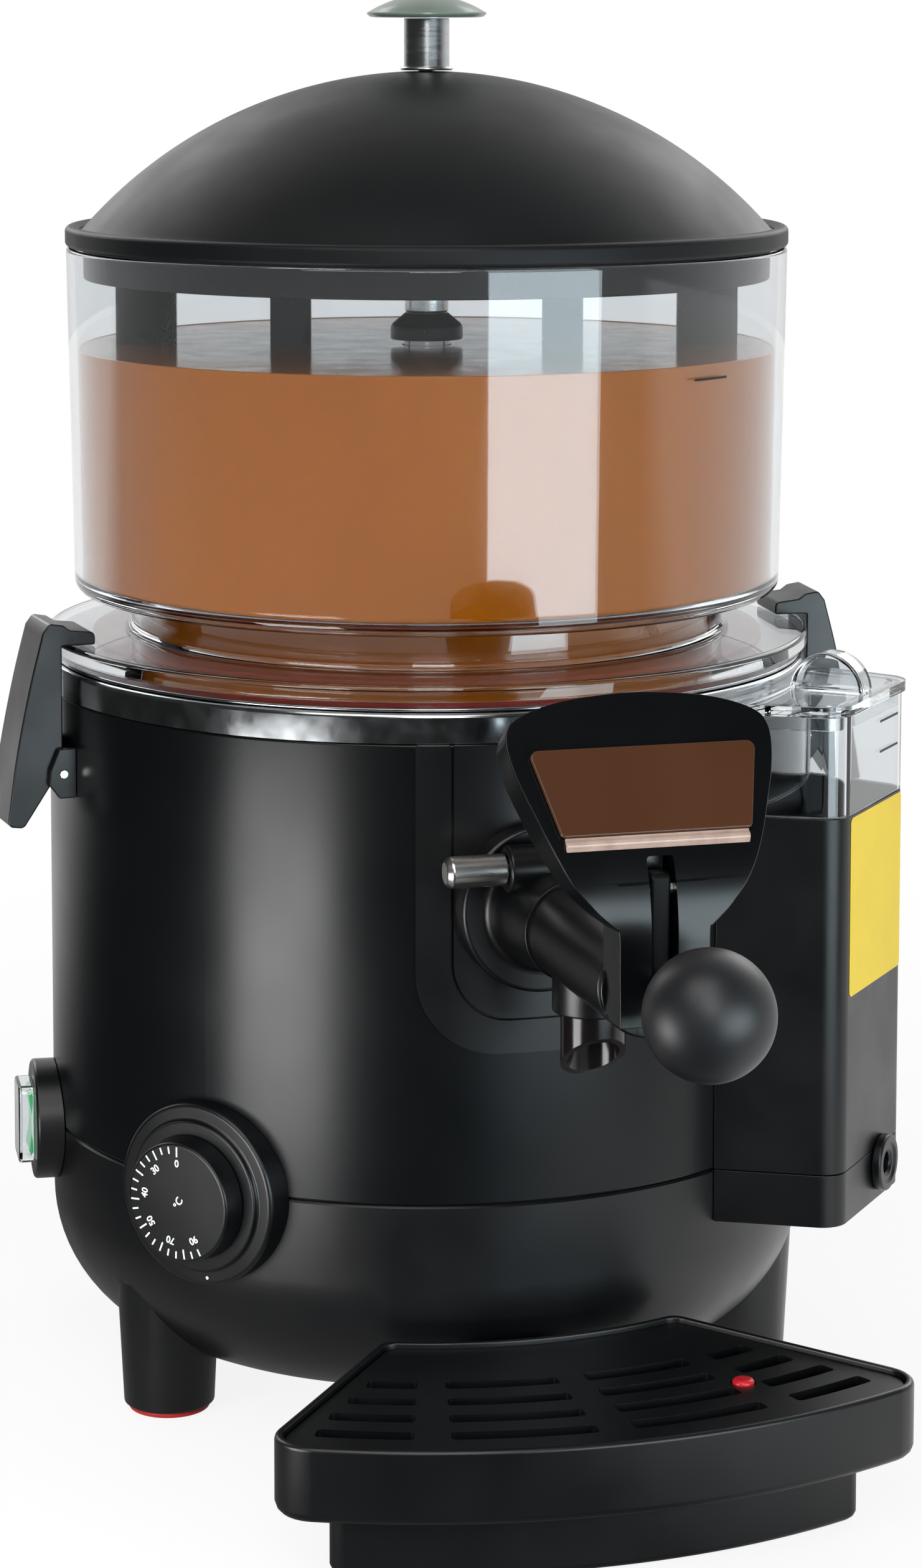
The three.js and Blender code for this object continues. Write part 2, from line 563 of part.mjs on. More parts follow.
const stemBottom = lid.peak + fit;
const stemTop = stemBottom + stem.height;
add('lid', lidShell(), finish(0x15171a, 0.55));
add('lid_stem', turned([
  [0, lid.peak - lid.wall * 2], [lid.screwHole - fit, lid.peak - lid.wall * 2], [lid.screwHole - fit, stemBottom],
  [stem.footRadius, stemBottom], [stem.footRadius, stemBottom + stem.footHeight],
  [stem.radius, stemBottom + stem.footHeight], [stem.radius, stemTop], [0, stemTop],
], sides.medium), steel());
add('lid_knob', turned([
  [0, stemTop + fit], [knob.radius - knob.edge, stemTop + fit], [knob.radius, stemTop + fit + knob.edge],
  ...domeAbove(knob.radius, stemTop + fit + knob.edge, stemTop + fit + knob.height),
], sides.medium), finish(0x66756b, 0.35, 0.2));

// Points of a cap from its edge up to the axis
function domeAbove(radius, from, to) {
  const rise = to - from;
  const sphere = (radius * radius + rise * rise) / (2 * rise);
  const start = Math.asin(radius / sphere);
  const outline = [];
  for (let k = 1; k <= arcSteps; k += 1) {
    const angle = start * (1 - k / arcSteps);
    outline.push([sphere * Math.sin(angle), to - sphere * (1 - Math.cos(angle))]);
  }
  return outline;
}

// Tap

function curvedPlate(halfWidth, bottom, corner, thickness) {
  const outline = rounded([
    [-halfWidth, bottom, corner], [halfWidth, bottom, corner], [halfWidth, body.top], [-halfWidth, body.top],
  ]);
  const slab = fronted(outline, body.radius / 2, body.radius + overrun);
  const ring = skin(skinCut + thickness, bottom - overrun, body.top + overrun)
    .subtract(skin(skinCut, bottom - overrun * 2, body.top + overrun * 2));
  return ring.intersect(slab);
}

const tapBore = (radius) => round('out', 0, tap.neckReach, radius).translate([0, 0, outlet.height]);
const surroundPlate = curvedPlate(surround.halfWidth, surround.bottom, surround.corner, surround.thickness)
  .subtract(curvedPlate(panel.halfWidth + panel.gap, panel.bottom - panel.gap, panel.corner, surround.thickness + overrun));
add('tap_surround', surroundPlate, black());
add('tap_panel', curvedPlate(panel.halfWidth, panel.bottom, panel.corner, panel.thickness)
  .subtract(tapBore(outlet.radius + fit)), black());

const barrelFace = head.back - fit;
const seatFace = outlet.reach + fit + tap.seat;

function tapBody() {
  const z = outlet.height;
  const lift = (solid) => solid.translate([0, 0, z]);
  const behind = body.radius - overrun;
  const panelFace = skinCut + panel.thickness + fit;
  const flange = lift(round('out', behind, tap.flangeReach, tap.flangeRadius, sides.medium))
    .subtract(skin(panelFace, z - body.radius, z + body.radius));
  const throat = lift(round('out', tap.flangeReach - overrun, tap.neckReach, tap.neckRadius, sides.medium, tap.radius));
  const barrel = lift(round('out', tap.neckReach - overrun, barrelFace, tap.radius));
  const ring = lift(round('out', tap.neckReach, tap.neckReach + tap.ringWidth, tap.ringRadius));
  const boss = round('x', -pinBoss.halfLength, pinBoss.halfLength, pinBoss.radius, sides.small)
    .translate([0, -bossReach, z + pinBoss.rise]);
  const socketBottom = z - tap.radius - spout.socketDrop;
  const socket = round('z', socketBottom, z, spout.socketRadius).translate([0, -spout.reach, 0]);
  const rearBore = lift(round('out', behind, outlet.reach + fit, outlet.radius + fit));
  const seatBore = lift(round('out', behind, seatFace + overrun, tap.seatBore));
  const chamber = lift(round('out', seatFace, barrelFace + overrun, tap.bore));
  const spoutBore = round('z', socketBottom - overrun, z, spout.radius + fit).translate([0, -spout.reach, 0]);
  const pinBore = round('x', -pinBoss.halfLength - overrun, pin.shankLength - pinBoss.halfLength + fit, pin.shankRadius + fit, sides.small)
    .translate([0, -bossReach, z + pinBoss.rise]);
  return flange.add(throat).add(barrel).add(ring).add(boss).add(socket)
    .subtract(rearBore).subtract(seatBore).subtract(chamber).subtract(spoutBore).subtract(pinBore);
}

add('tap_body', tapBody(), black());

function tapPin() {
  const inner = -pinBoss.halfLength - fit;
  const handle = round('x', inner - pin.handle, inner, pin.radius, sides.small);
  const shank = round('x', inner - overrun, inner + pin.shankLength, pin.shankRadius, sides.small);
  return handle.add(shank).translate([0, -bossReach, outlet.height + pinBoss.rise]);
}

add('tap_pin', tapPin(), steel());

// The spout's lower end is cut on a slant, higher at the front
function tapSpout() {
  const top = outlet.height - tap.bore - fit;
  const tube = round('z', spout.bottom, top, spout.radius, sides.medium)
    .subtract(round('z', spout.bottom - overrun, top + overrun, spout.radius - spout.wall, sides.medium))
    .translate([0, -spout.reach, 0]);
  const back = spout.reach - spout.radius;
  const front = spout.reach + spout.radius;
  const wedge = sided([
    [back - overrun, spout.bottom - overrun * 2], [front + overrun, spout.bottom - overrun * 2],
    [front + overrun, spout.bottom + spout.cut + overrun / 2], [front, spout.bottom + spout.cut],
    [back, spout.bottom], [back - overrun, spout.bottom],
  ], spout.radius * 3);
  return tube.subtract(wedge);
}

add('tap_spout', tapSpout(), finish(0x1a1310, 0.15, 0, 0.85));

// Half widths of the tap head's shield, measured up its leaning face from the knee
const shieldTop = 60.4;
const shieldShares = [
  [0, 0.64], [0.1, 0.72], [0.24, 0.805], [0.4, 0.885], [0.56, 0.96], [0.7, 1], [0.8, 0.995],
  [0.87, 0.93], [0.93, 0.74], [0.975, 0.45], [1, 0.16],
];
const shieldHalf = 40.5;
const jawShares = [
  [0.04, 0.61], [0.11, 0.55], [0.18, 0.49], [0.25, 0.415], [0.3, 0.36], [0.34, 0.338], [0.98, 0.335], [1, 0.3],
];

function shieldOutline(inset) {
  const right = shieldShares.map(([up, wide]) => [shieldHalf * wide - inset, Math.min(shieldTop * up, shieldTop - inset)]);
  const left = right.map(([x, y]) => [-x, y]).reverse();
  return [...right, ...left];
}

function leaned(outline, behind, ahead) {
  const flat = fronted(outline, behind, ahead);
  return flat.rotate([-head.lean, 0, 0]).translate([0, -head.front, head.knee]);
}

function tapHead() {
  const drop = head.knee - head.bottom;
  const jaw = jawShares.map(([down, wide]) => [shieldHalf * wide, head.knee - drop * down]);
  const topHalf = shieldHalf * shieldShares[0][1];
  const outline = [[-topHalf, head.knee], ...jaw.map(([x, z]) => [-x, z]), ...jaw.reverse(), [topHalf, head.knee]];
  const block = fronted(outline, head.back, head.front);
  const cap = round('out', head.back, head.back + head.slotBack, tap.radius, sides.medium).translate([0, 0, outlet.height]);
  const shield = leaned(shieldOutline(0), -head.depth, 0)
    .subtract(leaned(shieldOutline(head.shell), -head.depth - overrun, -head.shell));
  const brow = sided([
    [head.back, head.knee - overrun], [head.front, head.knee - overrun], [head.front, head.knee],
    [lever.pivotReach, lever.pivotHeight + overrun * 2], [head.back, lever.pivotHeight + overrun * 2],
  ], head.blockHalf * 2);
  const slot = sided([
    [head.back + head.slotBack, head.bottom - overrun], [head.front + overrun, head.bottom - overrun],
    [head.front + overrun, head.slotTop], [head.back + head.slotBack, head.slotTop],
  ], head.slot);
  const z = outlet.height;
  const rodHole = round('out', head.back - overrun, head.front + overrun, valve.rodRadius + fit, sides.small).translate([0, 0, z]);
  const pinHole = round('x', -leverPin.halfLength - fit, shieldHalf, leverPin.radius + fit / 2, sides.small)
    .translate([0, -lever.pivotReach, lever.pivotHeight]);
  return shield.add(block).add(brow).add(cap).subtract(slot).subtract(rodHole).subtract(pinHole);
}

add('tap_head', tapHead(), black());

const pivotPin = round('x', -leverPin.halfLength, leverPin.halfLength, leverPin.radius - fit / 2, sides.small)
  .translate([0, -lever.pivotReach, lever.pivotHeight]);
add('lever_pivot', pivotPin, steel());

function tapLever() {
  const back = head.back + head.slotBack + head.swing;
  const front = back + lever.bladeDepth;
  const top = lever.pivotHeight + lever.bladeTop;
  const blade = sided(rounded([
    [back, lever.bladeBottom, head.edge], [front, lever.bladeBottom, head.edge],
    [front, top, head.edge], [back, top, head.edge],
  ]), lever.bladeWidth);
  const stick = round('out', neck.from, ballReach - ball.radius + ball.socket - fit, neck.radius, sides.small)
    .translate([0, 0, neck.height]);
  const narrow = raised([
    [-lever.bladeWidth / 2, -ballReach], [lever.bladeWidth / 2, -ballReach],
    [lever.bladeWidth / 2, -head.back], [-lever.bladeWidth / 2, -head.back],
  ], head.bottom, lever.pivotHeight);
  const inSlot = stick.intersect(skin(head.front, head.bottom, head.knee)).intersect(narrow);
  const outside = stick.subtract(skin(head.front + fit * 2, head.bottom, head.knee));
  const joint = stick.intersect(narrow);
  const hole = round('x', -head.slot, head.slot, leverPin.radius + fit / 2, sides.small)
    .translate([0, -lever.pivotReach, lever.pivotHeight]);
  return blade.add(inSlot).add(joint).add(outside).subtract(hole);
}

function leverBall() {
  const sphere = toSolid(new THREE.SphereGeometry(ball.radius, sides.medium, sides.small).rotateX(Math.PI / 2))
    .translate([0, -ballReach, ball.height]);
  const from = ballReach - ball.radius - overrun;
  const socket = round('out', from, ballReach - ball.radius + ball.socket, neck.radius + fit, sides.small)
    .translate([0, 0, neck.height]);
  return sphere.subtract(socket);
}

add('tap_lever', tapLever(), black());
add('lever_ball', leverBall(), black());

const badgePlate = leaned(rounded([
  [-badge.bottomHalf, badge.from, badge.corner], [badge.bottomHalf, badge.from, badge.corner],
  [badge.topHalf, badge.to, badge.corner], [-badge.topHalf, badge.to, badge.corner],
]), fit, fit + badge.thickness);
add('badge', badgePlate, finish(0x5a3826, 0.3));

const sealFace = seatFace + fit;
const rodEnd = head.back + head.slotBack + head.swing - fit;
const rodBar = turned([
  [0, sealFace + valve.seal + fit], [valve.rodRadius, sealFace + valve.seal + fit],
  [valve.rodRadius, sealFace + valve.collarAt], [valve.collarRadius, sealFace + valve.collarAt],
  [valve.collarRadius, sealFace + valve.collarAt + valve.collar],
  [valve.rodRadius, sealFace + valve.collarAt + valve.collar], [valve.rodRadius, rodEnd], [0, rodEnd],
], sides.small).rotate([90, 0, 0]).translate([0, 0, outlet.height]);
add('valve_rod', rodBar, steel());
add('valve_seal', round('out', sealFace, sealFace + valve.seal, valve.sealRadius, sides.small)
  .translate([0, 0, outlet.height]), rubber());

// Return spring, drawn at its compressed length so that the rod's collar can travel
const springFrom = sealFace + valve.collarAt + valve.collar + spring.ahead;
class Coil extends THREE.Curve {
  getPoint(share, target = new THREE.Vector3()) {
    const angle = share * spring.turns * Math.PI * 2;
    const length = barrelFace - spring.clearFront - springFrom;
    return target.set(
      spring.coilRadius * Math.cos(angle), -springFrom - length * share,
      outlet.height + spring.coilRadius * Math.sin(angle));
  }
}

const springSteps = 8;
const wireOutline = arc(0, 0, spring.wire, 0, 360, spring.wireSides).slice(1);
const wireShape = shapeOf(wireOutline);
const springWire = new THREE.ExtrudeGeometry(wireShape, {
  steps: spring.turns * springSteps, bevelEnabled: false, extrudePath: new Coil(),
});
add('return_spring', toSolid(springWire), steel());

// Latches: the same outline on both sides of the machine

function latchHook() {
  const nose = flangeTop + fit;
  const { pivotReach: px, pivotHeight: pz } = latch;
  const outline = rounded([
    [latch.hookInner, nose], [latch.backReach, nose], [latch.backReach, pz + latch.knuckle * 2],
    [px - latch.knuckle, pz + latch.knuckle, latch.knuckle / 2], [px - latch.knuckle, pz - latch.knuckle, latch.knuckle / 2],
    [px + latch.knuckle, pz - latch.knuckle], [latch.tipReach - cheek.bridge, latch.tipHeight - latch.knuckle, latch.knuckle / 2],
    [latch.tipReach, latch.tipHeight, latch.knuckle / 2], [latch.outerReach, nose + latch.hookTop, latch.knuckle],
    [latch.hookInner, nose + latch.hookTop - latch.knuckle, latch.knuckle],
  ], 2);
  const hook = sided(outline, latch.width);
  return hook.subtract(round('x', -latch.width, latch.width, latch.pinRadius + fit / 2, sides.tiny)
    .translate([0, -px, pz]));
}

function latchBracket() {
  const half = latch.width / 2 + fit;
  const deep = body.radius - overrun;
  const side = [
    [deep, cheek.bottom], [cheek.reach - cheek.thickness, cheek.bottom + cheek.thickness],
    [cheek.reach, latch.pivotHeight], [cheek.reach - cheek.thickness, cheek.top - cheek.thickness], [deep, cheek.top],
  ];
  const across = half + cheek.thickness / 2;
  const bridge = sided([
    [deep, cheek.bottom], [cheek.bridgeReach, cheek.bottom],
    [cheek.bridgeReach, cheek.bottom + cheek.bridge], [deep, cheek.bottom + cheek.bridge],
  ], half * 2 + cheek.thickness);
  const hole = round('x', -latch.width, latch.width, latch.pinRadius + fit / 2, sides.tiny)
    .translate([0, -latch.pivotReach, latch.pivotHeight]);
  return sided(side, cheek.thickness, across).add(sided(side, cheek.thickness, -across)).add(bridge)
    .subtract(hole).subtract(skin(skinCut, cheek.bottom - overrun, cheek.top + overrun));
}

function latchPin() {
  const half = latch.width / 2 + fit + cheek.thickness + fit;
  return round('x', -half, half, latch.pinRadius, sides.tiny)
    .translate([0, -latch.pivotReach, latch.pivotHeight]);
}

for (const [side, angle] of [['left', -latch.angle], ['right', latch.angle]]) {
  add(`latch_bracket_${side}`, spun(latchBracket(), angle), black());
  add(`latch_pin_${side}`, spun(latchPin(), angle), steel());
  add(`latch_${side}`, spun(latchHook(), angle), black());
}

// Dial and switch

const dialAt = (solid) => spun(solid.translate([0, 0, dial.height]), dial.angle);
const dialRing = round('out', body.radius - overrun, dial.ringReach, dial.ringRadius, sides.large)
  .add(round('out', body.radius, dial.stepReach, dial.stepRadius, sides.large))
  .subtract(round('out', body.radius - overrun * 2, dial.stepReach + overrun, dial.stemRadius + fit))
  .subtract(skin(skinCut, -body.radius, body.radius));
add('dial_ring', dialAt(dialRing), black());
const knobBack = dial.stepReach + fit;
const dialKnob = round('out', knobBack, dial.faceReach, dial.knobRadius, sides.large, dial.faceRadius)
  .add(round('out', dial.stemBack, knobBack + overrun, dial.stemRadius));
add('dial_knob', dialAt(dialKnob), black());
add('thermostat', dialAt(round('out', thermostat.back, thermostat.front, thermostat.radius)
  .subtract(round('out', dial.stemBack - fit, thermostat.front + overrun, dial.stemRadius + fit))), finish(0xd8d2c4, 0.5));

const rockerAt = (solid) => spun(solid.translate([0, 0, rocker.height]), rocker.angle);

function rectangle(width, height, corner) {
  return rounded([
    [-width / 2, -height / 2, corner], [width / 2, -height / 2, corner],
    [width / 2, height / 2, corner], [-width / 2, height / 2, corner],
  ], 2);
}

function switchBezel() {
  const pocket = rectangle(rocker.width + fit * 4, rocker.length + fit * 4, fit);
  return round('out', body.radius - overrun, rocker.bezelReach, rocker.bezelRadius, sides.medium)
    .subtract(skin(skinCut, -body.radius, body.radius))
    .add(round('out', rocker.bodyBack, rocker.bezelReach - overrun, rocker.bodyRadius, sides.medium))
    .subtract(fronted(pocket, rocker.pocketBack, rocker.bezelReach + overrun));
}

function switchRocker() {
  const crown = rocker.crown;
  const half = rocker.length / 2;
  const dip = fit * 3;
  return sided([
    [rocker.back, -half / 2], [crown - dip * 2, -half], [crown, -half + dip], [crown - dip, 0],
    [crown, half - dip], [crown - dip * 2, half], [rocker.back, half / 2],
  ], rocker.width);
}

const coverBack = rocker.bezelReach + fit;
const coverInside = rectangle(rocker.coverWidth - rocker.coverWall * 2, rocker.coverLength - rocker.coverWall * 2, rocker.corner / 2);
const switchCover = fronted(rectangle(rocker.coverWidth, rocker.coverLength, rocker.corner), coverBack, rocker.coverReach)
  .subtract(fronted(coverInside, coverBack - overrun, rocker.coverReach - rocker.coverWall));
add('switch_bezel', rockerAt(switchBezel()), black());
add('switch_rocker', rockerAt(switchRocker()), finish(0x2f9c55, 0.3));
add('switch_cover', rockerAt(switchCover), clear());

// Side tank

const tankSlope = Math.tan(tank.taper * degrees);

function tankOutline(inset) {
  const outer = tank.reach - inset;
  const halfAt = (reach) => tank.outerHalf + (tank.reach - reach) * tankSlope - inset / Math.cos(tank.taper * degrees);
  const corner = Math.max(tank.corner - inset, fit);
  return rounded([
    [-halfAt(outer), -outer, corner], [halfAt(outer), -outer, corner],
    [halfAt(tank.inward), -tank.inward], [-halfAt(tank.inward), -tank.inward],
  ]);
}

function tankSleeve(from, to, inset = 0) {
  return raised(tankOutline(inset), from, to).subtract(skin(skinCut + Math.max(inset, 0), from - overrun, to + overrun));
}

function tankTube(from, to) {
  return tankSleeve(from, to).subtract(tankSleeve(from - overrun, to + overrun, tank.wall));
}

const tankAt = (solid) => spun(solid, tank.angle);
const spigotHole = round('out', body.radius, spigot.reach + overrun, spigot.radius + fit, sides.small)
  .translate([0, 0, spigot.height]);
const housingBottom = body.seam + fit;
add('tank_housing', tankAt(tankTube(housingBottom, tank.top).subtract(spigotHole)), black());

const drainHole = round('out', tank.reach - overrun * 2, tank.reach + overrun, drain.stemRadius + fit, sides.small)
  .translate([drain.offset, 0, drain.height]);
const tankCup = tankSleeve(tank.bottom, housingBottom - fit)
  .subtract(tankSleeve(tank.bottom + tank.floor, housingBottom + overrun, tank.wall))
  .subtract(drainHole);
add('tank_base', tankAt(tankCup), black());
add('tank_window', tankAt(tankTube(tank.top + fit, tank.windowTop)), clear());

function tankCover() {
  const bottom = tank.windowTop + fit;
  const top = bottom + tankLid.thickness;
  const lipInset = tank.wall + fit * 2;
  const lip = tankSleeve(bottom - tankLid.lip, bottom + fit, lipInset)
    .subtract(tankSleeve(bottom - tankLid.lip - overrun, bottom, lipInset + tankLid.lipWall));
  const sheet = tankSleeve(bottom, top, -tankLid.overhang)
    .subtract(skin(bowl.flangeRadius + fit * 2, bottom - overrun, top + overrun));
  const dome = (radius) => [[-radius, 0], ...arc(0, 0, radius, 0, 180, sweepSteps)].slice(1);
  const place = ([u, v]) => [tank.reach - grip.inset + u, top + v - fit];
  const bump = sided(dome(grip.radius).map(place), grip.thickness);
  const hollow = sided([
    ...dome(grip.radius - grip.wall), [-grip.radius + grip.wall, -overrun], [grip.radius - grip.wall, -overrun],
  ].map(place), grip.thickness - grip.wall * 2);
  return sheet.add(lip).add(bump).subtract(hollow);
}

add('tank_lid', tankAt(tankCover()), clear());

function drainPlug() {
  const face = tank.reach + fit;
  const flange = round('out', face, face + drain.flange, drain.radius, sides.medium);
  const stemPart = round('out', face - drain.stem, face + drain.flange / 2, drain.stemRadius, sides.small);
  const socket = round('out', face + drain.flange - drain.socketDepth, face + drain.flange + overrun, drain.socket, sides.hex);
  return flange.add(stemPart).subtract(socket).translate([drain.offset, 0, drain.height]);
}

add('drain_plug', tankAt(drainPlug()), black());

// Drip tray, grate and float

const splay = Math.tan(tray.splay * degrees);

// Where the splayed side, moved in by an inset, meets a circle round the machine's axis
function sideMeets(radius, inset) {
  const cornerReach = Math.sqrt(tray.backRadius ** 2 - tray.backHalf ** 2);
  const start = tray.backHalf - inset / Math.cos(tray.splay * degrees) - splay * cornerReach;
  const square = 1 + splay * splay;
  const reach = (-start * splay + Math.sqrt((start * splay) ** 2 - square * (start * start - radius * radius))) / square;
  return { half: start + splay * reach, reach };
}

function fanOutline(inset) {
  const front = sideMeets(tray.frontRadius - inset, inset);
  const back = sideMeets(tray.backRadius + inset, inset);
  const corner = Math.max(tray.corner - inset, tray.backCorner / 2);
  const spread = Math.atan2(front.half, front.reach) / degrees;
  const narrow = Math.atan2(back.half, back.reach) / degrees;
  const frontArc = arc(0, 0, tray.frontRadius - inset, -90 - spread, -90 + spread, 10);
  const backArc = arc(0, 0, tray.backRadius + inset, -90 + narrow, -90 - narrow, 6);
  const withCorners = (line, radius) => line.map(([x, y], i) => (
    i === 0 || i === line.length - 1 ? [x, y, radius] : [x, y]));
  return rounded([...withCorners(frontArc, corner), ...withCorners(backArc, tray.backCorner)], 4);
}

function dripTray() {
  const pocket = raised(fanOutline(tray.wall), tray.ledgeTop, tray.rim + overrun);
  const basin = raised(fanOutline(tray.wall + tray.ledge), tray.skirt + tray.floor, tray.rim + overrun);
  const sump = raised(fanOutline(tray.footInset + tray.wall), tray.floor, tray.rim + overrun);
  const tongue = raised([
    [-tray.tongueHalf, -tray.backRadius - tray.footInset - tray.wall], [tray.tongueHalf, -tray.backRadius - tray.footInset - tray.wall],
    [tray.tongueHalf, -tray.tongueReach], [-tray.tongueHalf, -tray.tongueReach],
  ], floorZ - fit - tray.tongue, floorZ - fit);
  return raised(fanOutline(0), tray.skirt, tray.rim)
    .add(raised(fanOutline(tray.footInset), 0, tray.skirt + tray.floor))
    .add(tongue).subtract(pocket).subtract(basin).subtract(sump);
}

function ringSector(inner, outer, fromAngle, toAngle, from, to) {
  const outline = [
    ...arc(0, 0, outer, fromAngle - 90, toAngle - 90, 3),
    ...arc(0, 0, inner, toAngle - 90, fromAngle - 90, 3),
  ];
  return raised(outline, from, to);
}

function dripGrate() {
  const bottom = tray.ledgeTop + fit;
  const top = bottom + grate.thickness;
  let sheet = raised(fanOutline(tray.wall + fit), bottom, top);
  for (let row = 0; row < grate.rows; row += 1) {
    const middle = tray.backRadius + trayDepth * (grate.firstRowShare + row * grate.pitchShare);
    const limit = Math.atan2(sideMeets(middle, tray.wall + grate.slot).half, sideMeets(middle, tray.wall + grate.slot).reach);
    const edge = Math.min(grate.outerAngle, limit / degrees);
    const columns = [[grate.ribHalf, grate.ribAngle - grate.ribHalf], [grate.ribAngle + grate.ribHalf, edge]];
    for (const [from, to] of columns.filter(([start, end]) => end - start > grate.ribHalf)) {
      for (const [a, b] of [[from, to], [-to, -from]]) {
        sheet = sheet.subtract(ringSector(
          middle - grate.slot / 2, middle + grate.slot / 2, a, b, bottom - overrun, top + overrun));
      }
    }
  }
  const hole = round('z', bottom - overrun, top + overrun, float.radius + float.hole, sides.small)
    .translate([0, -floatReach, 0]);
  return sheet.subtract(spun(hole, float.angle));
}

add('drip_tray', dripTray(), black());
add('drip_grate', dripGrate(), black());
const floatBottom = tray.floor + fit;
add('level_float', spun(turned([
  [0, floatBottom], [float.discRadius, floatBottom], [float.discRadius, floatBottom + float.disc],
  [float.radius, floatBottom + float.disc], [float.radius, float.crown - float.radius / 2],
  [float.radius / 2, float.crown], [0, float.crown],
], sides.small).translate([0, -floatReach, 0]), float.angle), finish(0xc8201f, 0.35));

// The origin is under the middle of the whole machine, on the table
const box = new THREE.Box3().setFromObject(machine);
const middle = box.getCenter(new THREE.Vector3());
machine.position.set(-middle.x, -middle.y, -box.min.z);
const dispenser = new THREE.Group();
dispenser.add(machine);

export default dispenser;
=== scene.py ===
import math

import bmesh
import bpy
from mathutils import Matrix, Vector


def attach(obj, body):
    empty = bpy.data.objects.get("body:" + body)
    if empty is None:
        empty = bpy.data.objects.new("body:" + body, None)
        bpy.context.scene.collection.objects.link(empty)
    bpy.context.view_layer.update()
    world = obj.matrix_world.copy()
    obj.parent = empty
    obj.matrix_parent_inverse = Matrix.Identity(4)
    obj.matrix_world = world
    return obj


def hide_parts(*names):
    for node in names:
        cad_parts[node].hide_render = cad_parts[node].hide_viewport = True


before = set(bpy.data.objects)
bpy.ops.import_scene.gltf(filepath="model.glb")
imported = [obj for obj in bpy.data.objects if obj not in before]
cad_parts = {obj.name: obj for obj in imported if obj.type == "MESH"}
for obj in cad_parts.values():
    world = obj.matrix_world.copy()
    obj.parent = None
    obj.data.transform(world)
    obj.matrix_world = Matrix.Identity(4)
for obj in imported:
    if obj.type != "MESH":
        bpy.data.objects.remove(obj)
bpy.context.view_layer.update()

# Shapes are drawn in millimetres round the machine's upright axis, with the tap along -Y.
# The row frame is in metres, and its origin lies in front of that axis.
METRES = 0.001
AXIS_Y = 0.0847
TO_FRAME = Matrix.Translation((0, AXIS_Y, 0)) @ Matrix.Scale(METRES, 4)


# Outlines

def arc(centre, radius, start, end, steps):
    points = []
    for k in range(steps + 1):
        angle = math.radians(start + (end - start) * k / steps)
        points.append((centre[0] + radius * math.cos(angle), centre[1] + radius * math.sin(angle)))
    return points


def rounded(corners, steps):
    """Corners are (x, y) or (x, y, radius), and each one with a radius becomes an arc."""
    outline = []
    for i, corner in enumerate(corners):
        at = Vector(corner[:2])
        radius = corner[2] if len(corner) > 2 else 0
        if not radius:
            outline.append(tuple(at))
            continue
        before = (Vector(corners[i - 1][:2]) - at).normalized()
        after = (Vector(corners[(i + 1) % len(corners)][:2]) - at).normalized()
        half = before.angle(after) / 2
        centre = at + (before + after).normalized() * radius / math.sin(half)
        first = at + before * radius / math.tan(half) - centre
        last = at + after * radius / math.tan(half) - centre
        start = math.atan2(first.y, first.x)
        turn = math.atan2(last.y, last.x) - start
        turn = math.atan2(math.sin(turn), math.cos(turn))
        for k in range(steps + 1):
            angle = start + turn * k / steps
            outline.append((centre.x + radius * math.cos(angle), centre.y + radius * math.sin(angle)))
    return outline


def oblong(left, bottom, right, top, radius=0, steps=5):
    corners = [(left, bottom), (right, bottom), (right, top), (left, top)]
    return rounded([(*corner, radius) for corner in corners], steps) if radius else corners


def smooth_line(points, steps):
    """A curve through the points, with its ends kept."""
    padded = [points[0], *points, points[-1]]
    line = []
    for i in range(1, len(padded) - 2):
        p0, p1, p2, p3 = (Vector(p) for p in padded[i - 1:i + 3])
        for k in range(steps):
            t = k / steps
            at = 0.5 * (2 * p1 + (p2 - p0) * t + (2 * p0 - 5 * p1 + 4 * p2 - p3) * t ** 2
                        + (3 * p1 - p0 - 3 * p2 + p3) * t ** 3)
            line.append(tuple(at))
    line.append(tuple(points[-1]))
    return line


# Places on the machine

def spin(angle):
    return Matrix.Rotation(math.radians(angle), 4, "Z")


def facing(angle, height=0, across=0):
    """Local X runs to the right as seen from outside, Y runs up and Z runs out from the axis."""
    return spin(angle) @ Matrix(((1, 0, 0, across), (0, 0, -1, 0), (0, 1, 0, height), (0, 0, 0, 1)))


def beside(angle):
    """For a side view: local X runs out from the axis, Y runs up and Z runs across."""
    return spin(angle) @ Matrix(((0, 0, -1, 0), (-1, 0, 0, 0), (0, 1, 0, 0), (0, 0, 0, 1)))


def upright(angle, reach):
    return spin(angle) @ Matrix.Translation((0, -reach, 0))


def crosswise(reach, height, angle=0):
    """Local Z runs across, through a point at a reach from the axis."""
    return spin(angle) @ Matrix.Translation((0, -reach, height)) @ Matrix.Rotation(math.radians(90), 4, "Y")


# Radii of the casing's outside and just clear of it
CASING = 131
CLEAR = 131.3
LEG_ANGLES = (-67, 67, 136, -136)
LEG_REACH = 111
TANK_ANGLE = 49

# Seats that several pieces share
TAP = facing(0, 186)
TAP_PIN = crosswise(150, 202)
LEVER_PIVOT = crosswise(250.2, 217)
SPOUT = upright(0, 190)
DIAL = facing(-48.5, 87)
SWITCH = facing(-95, 86.5)
GLAND = facing(180, 74.5)
TANK_FEED = facing(TANK_ANGLE, 142)
DRAIN = facing(TANK_ANGLE, 82.5, 9)
FLOAT = upright(15, 194.625)


# Solids

def placed(name, data):
    made = bpy.data.objects.new(name, data)
    bpy.context.scene.collection.objects.link(made)
    return made


def linked(name, shape):
    bmesh.ops.recalc_face_normals(shape, faces=shape.faces)
    mesh = bpy.data.meshes.new(name)
    shape.to_mesh(mesh)
    shape.free()
    return placed(name, mesh)


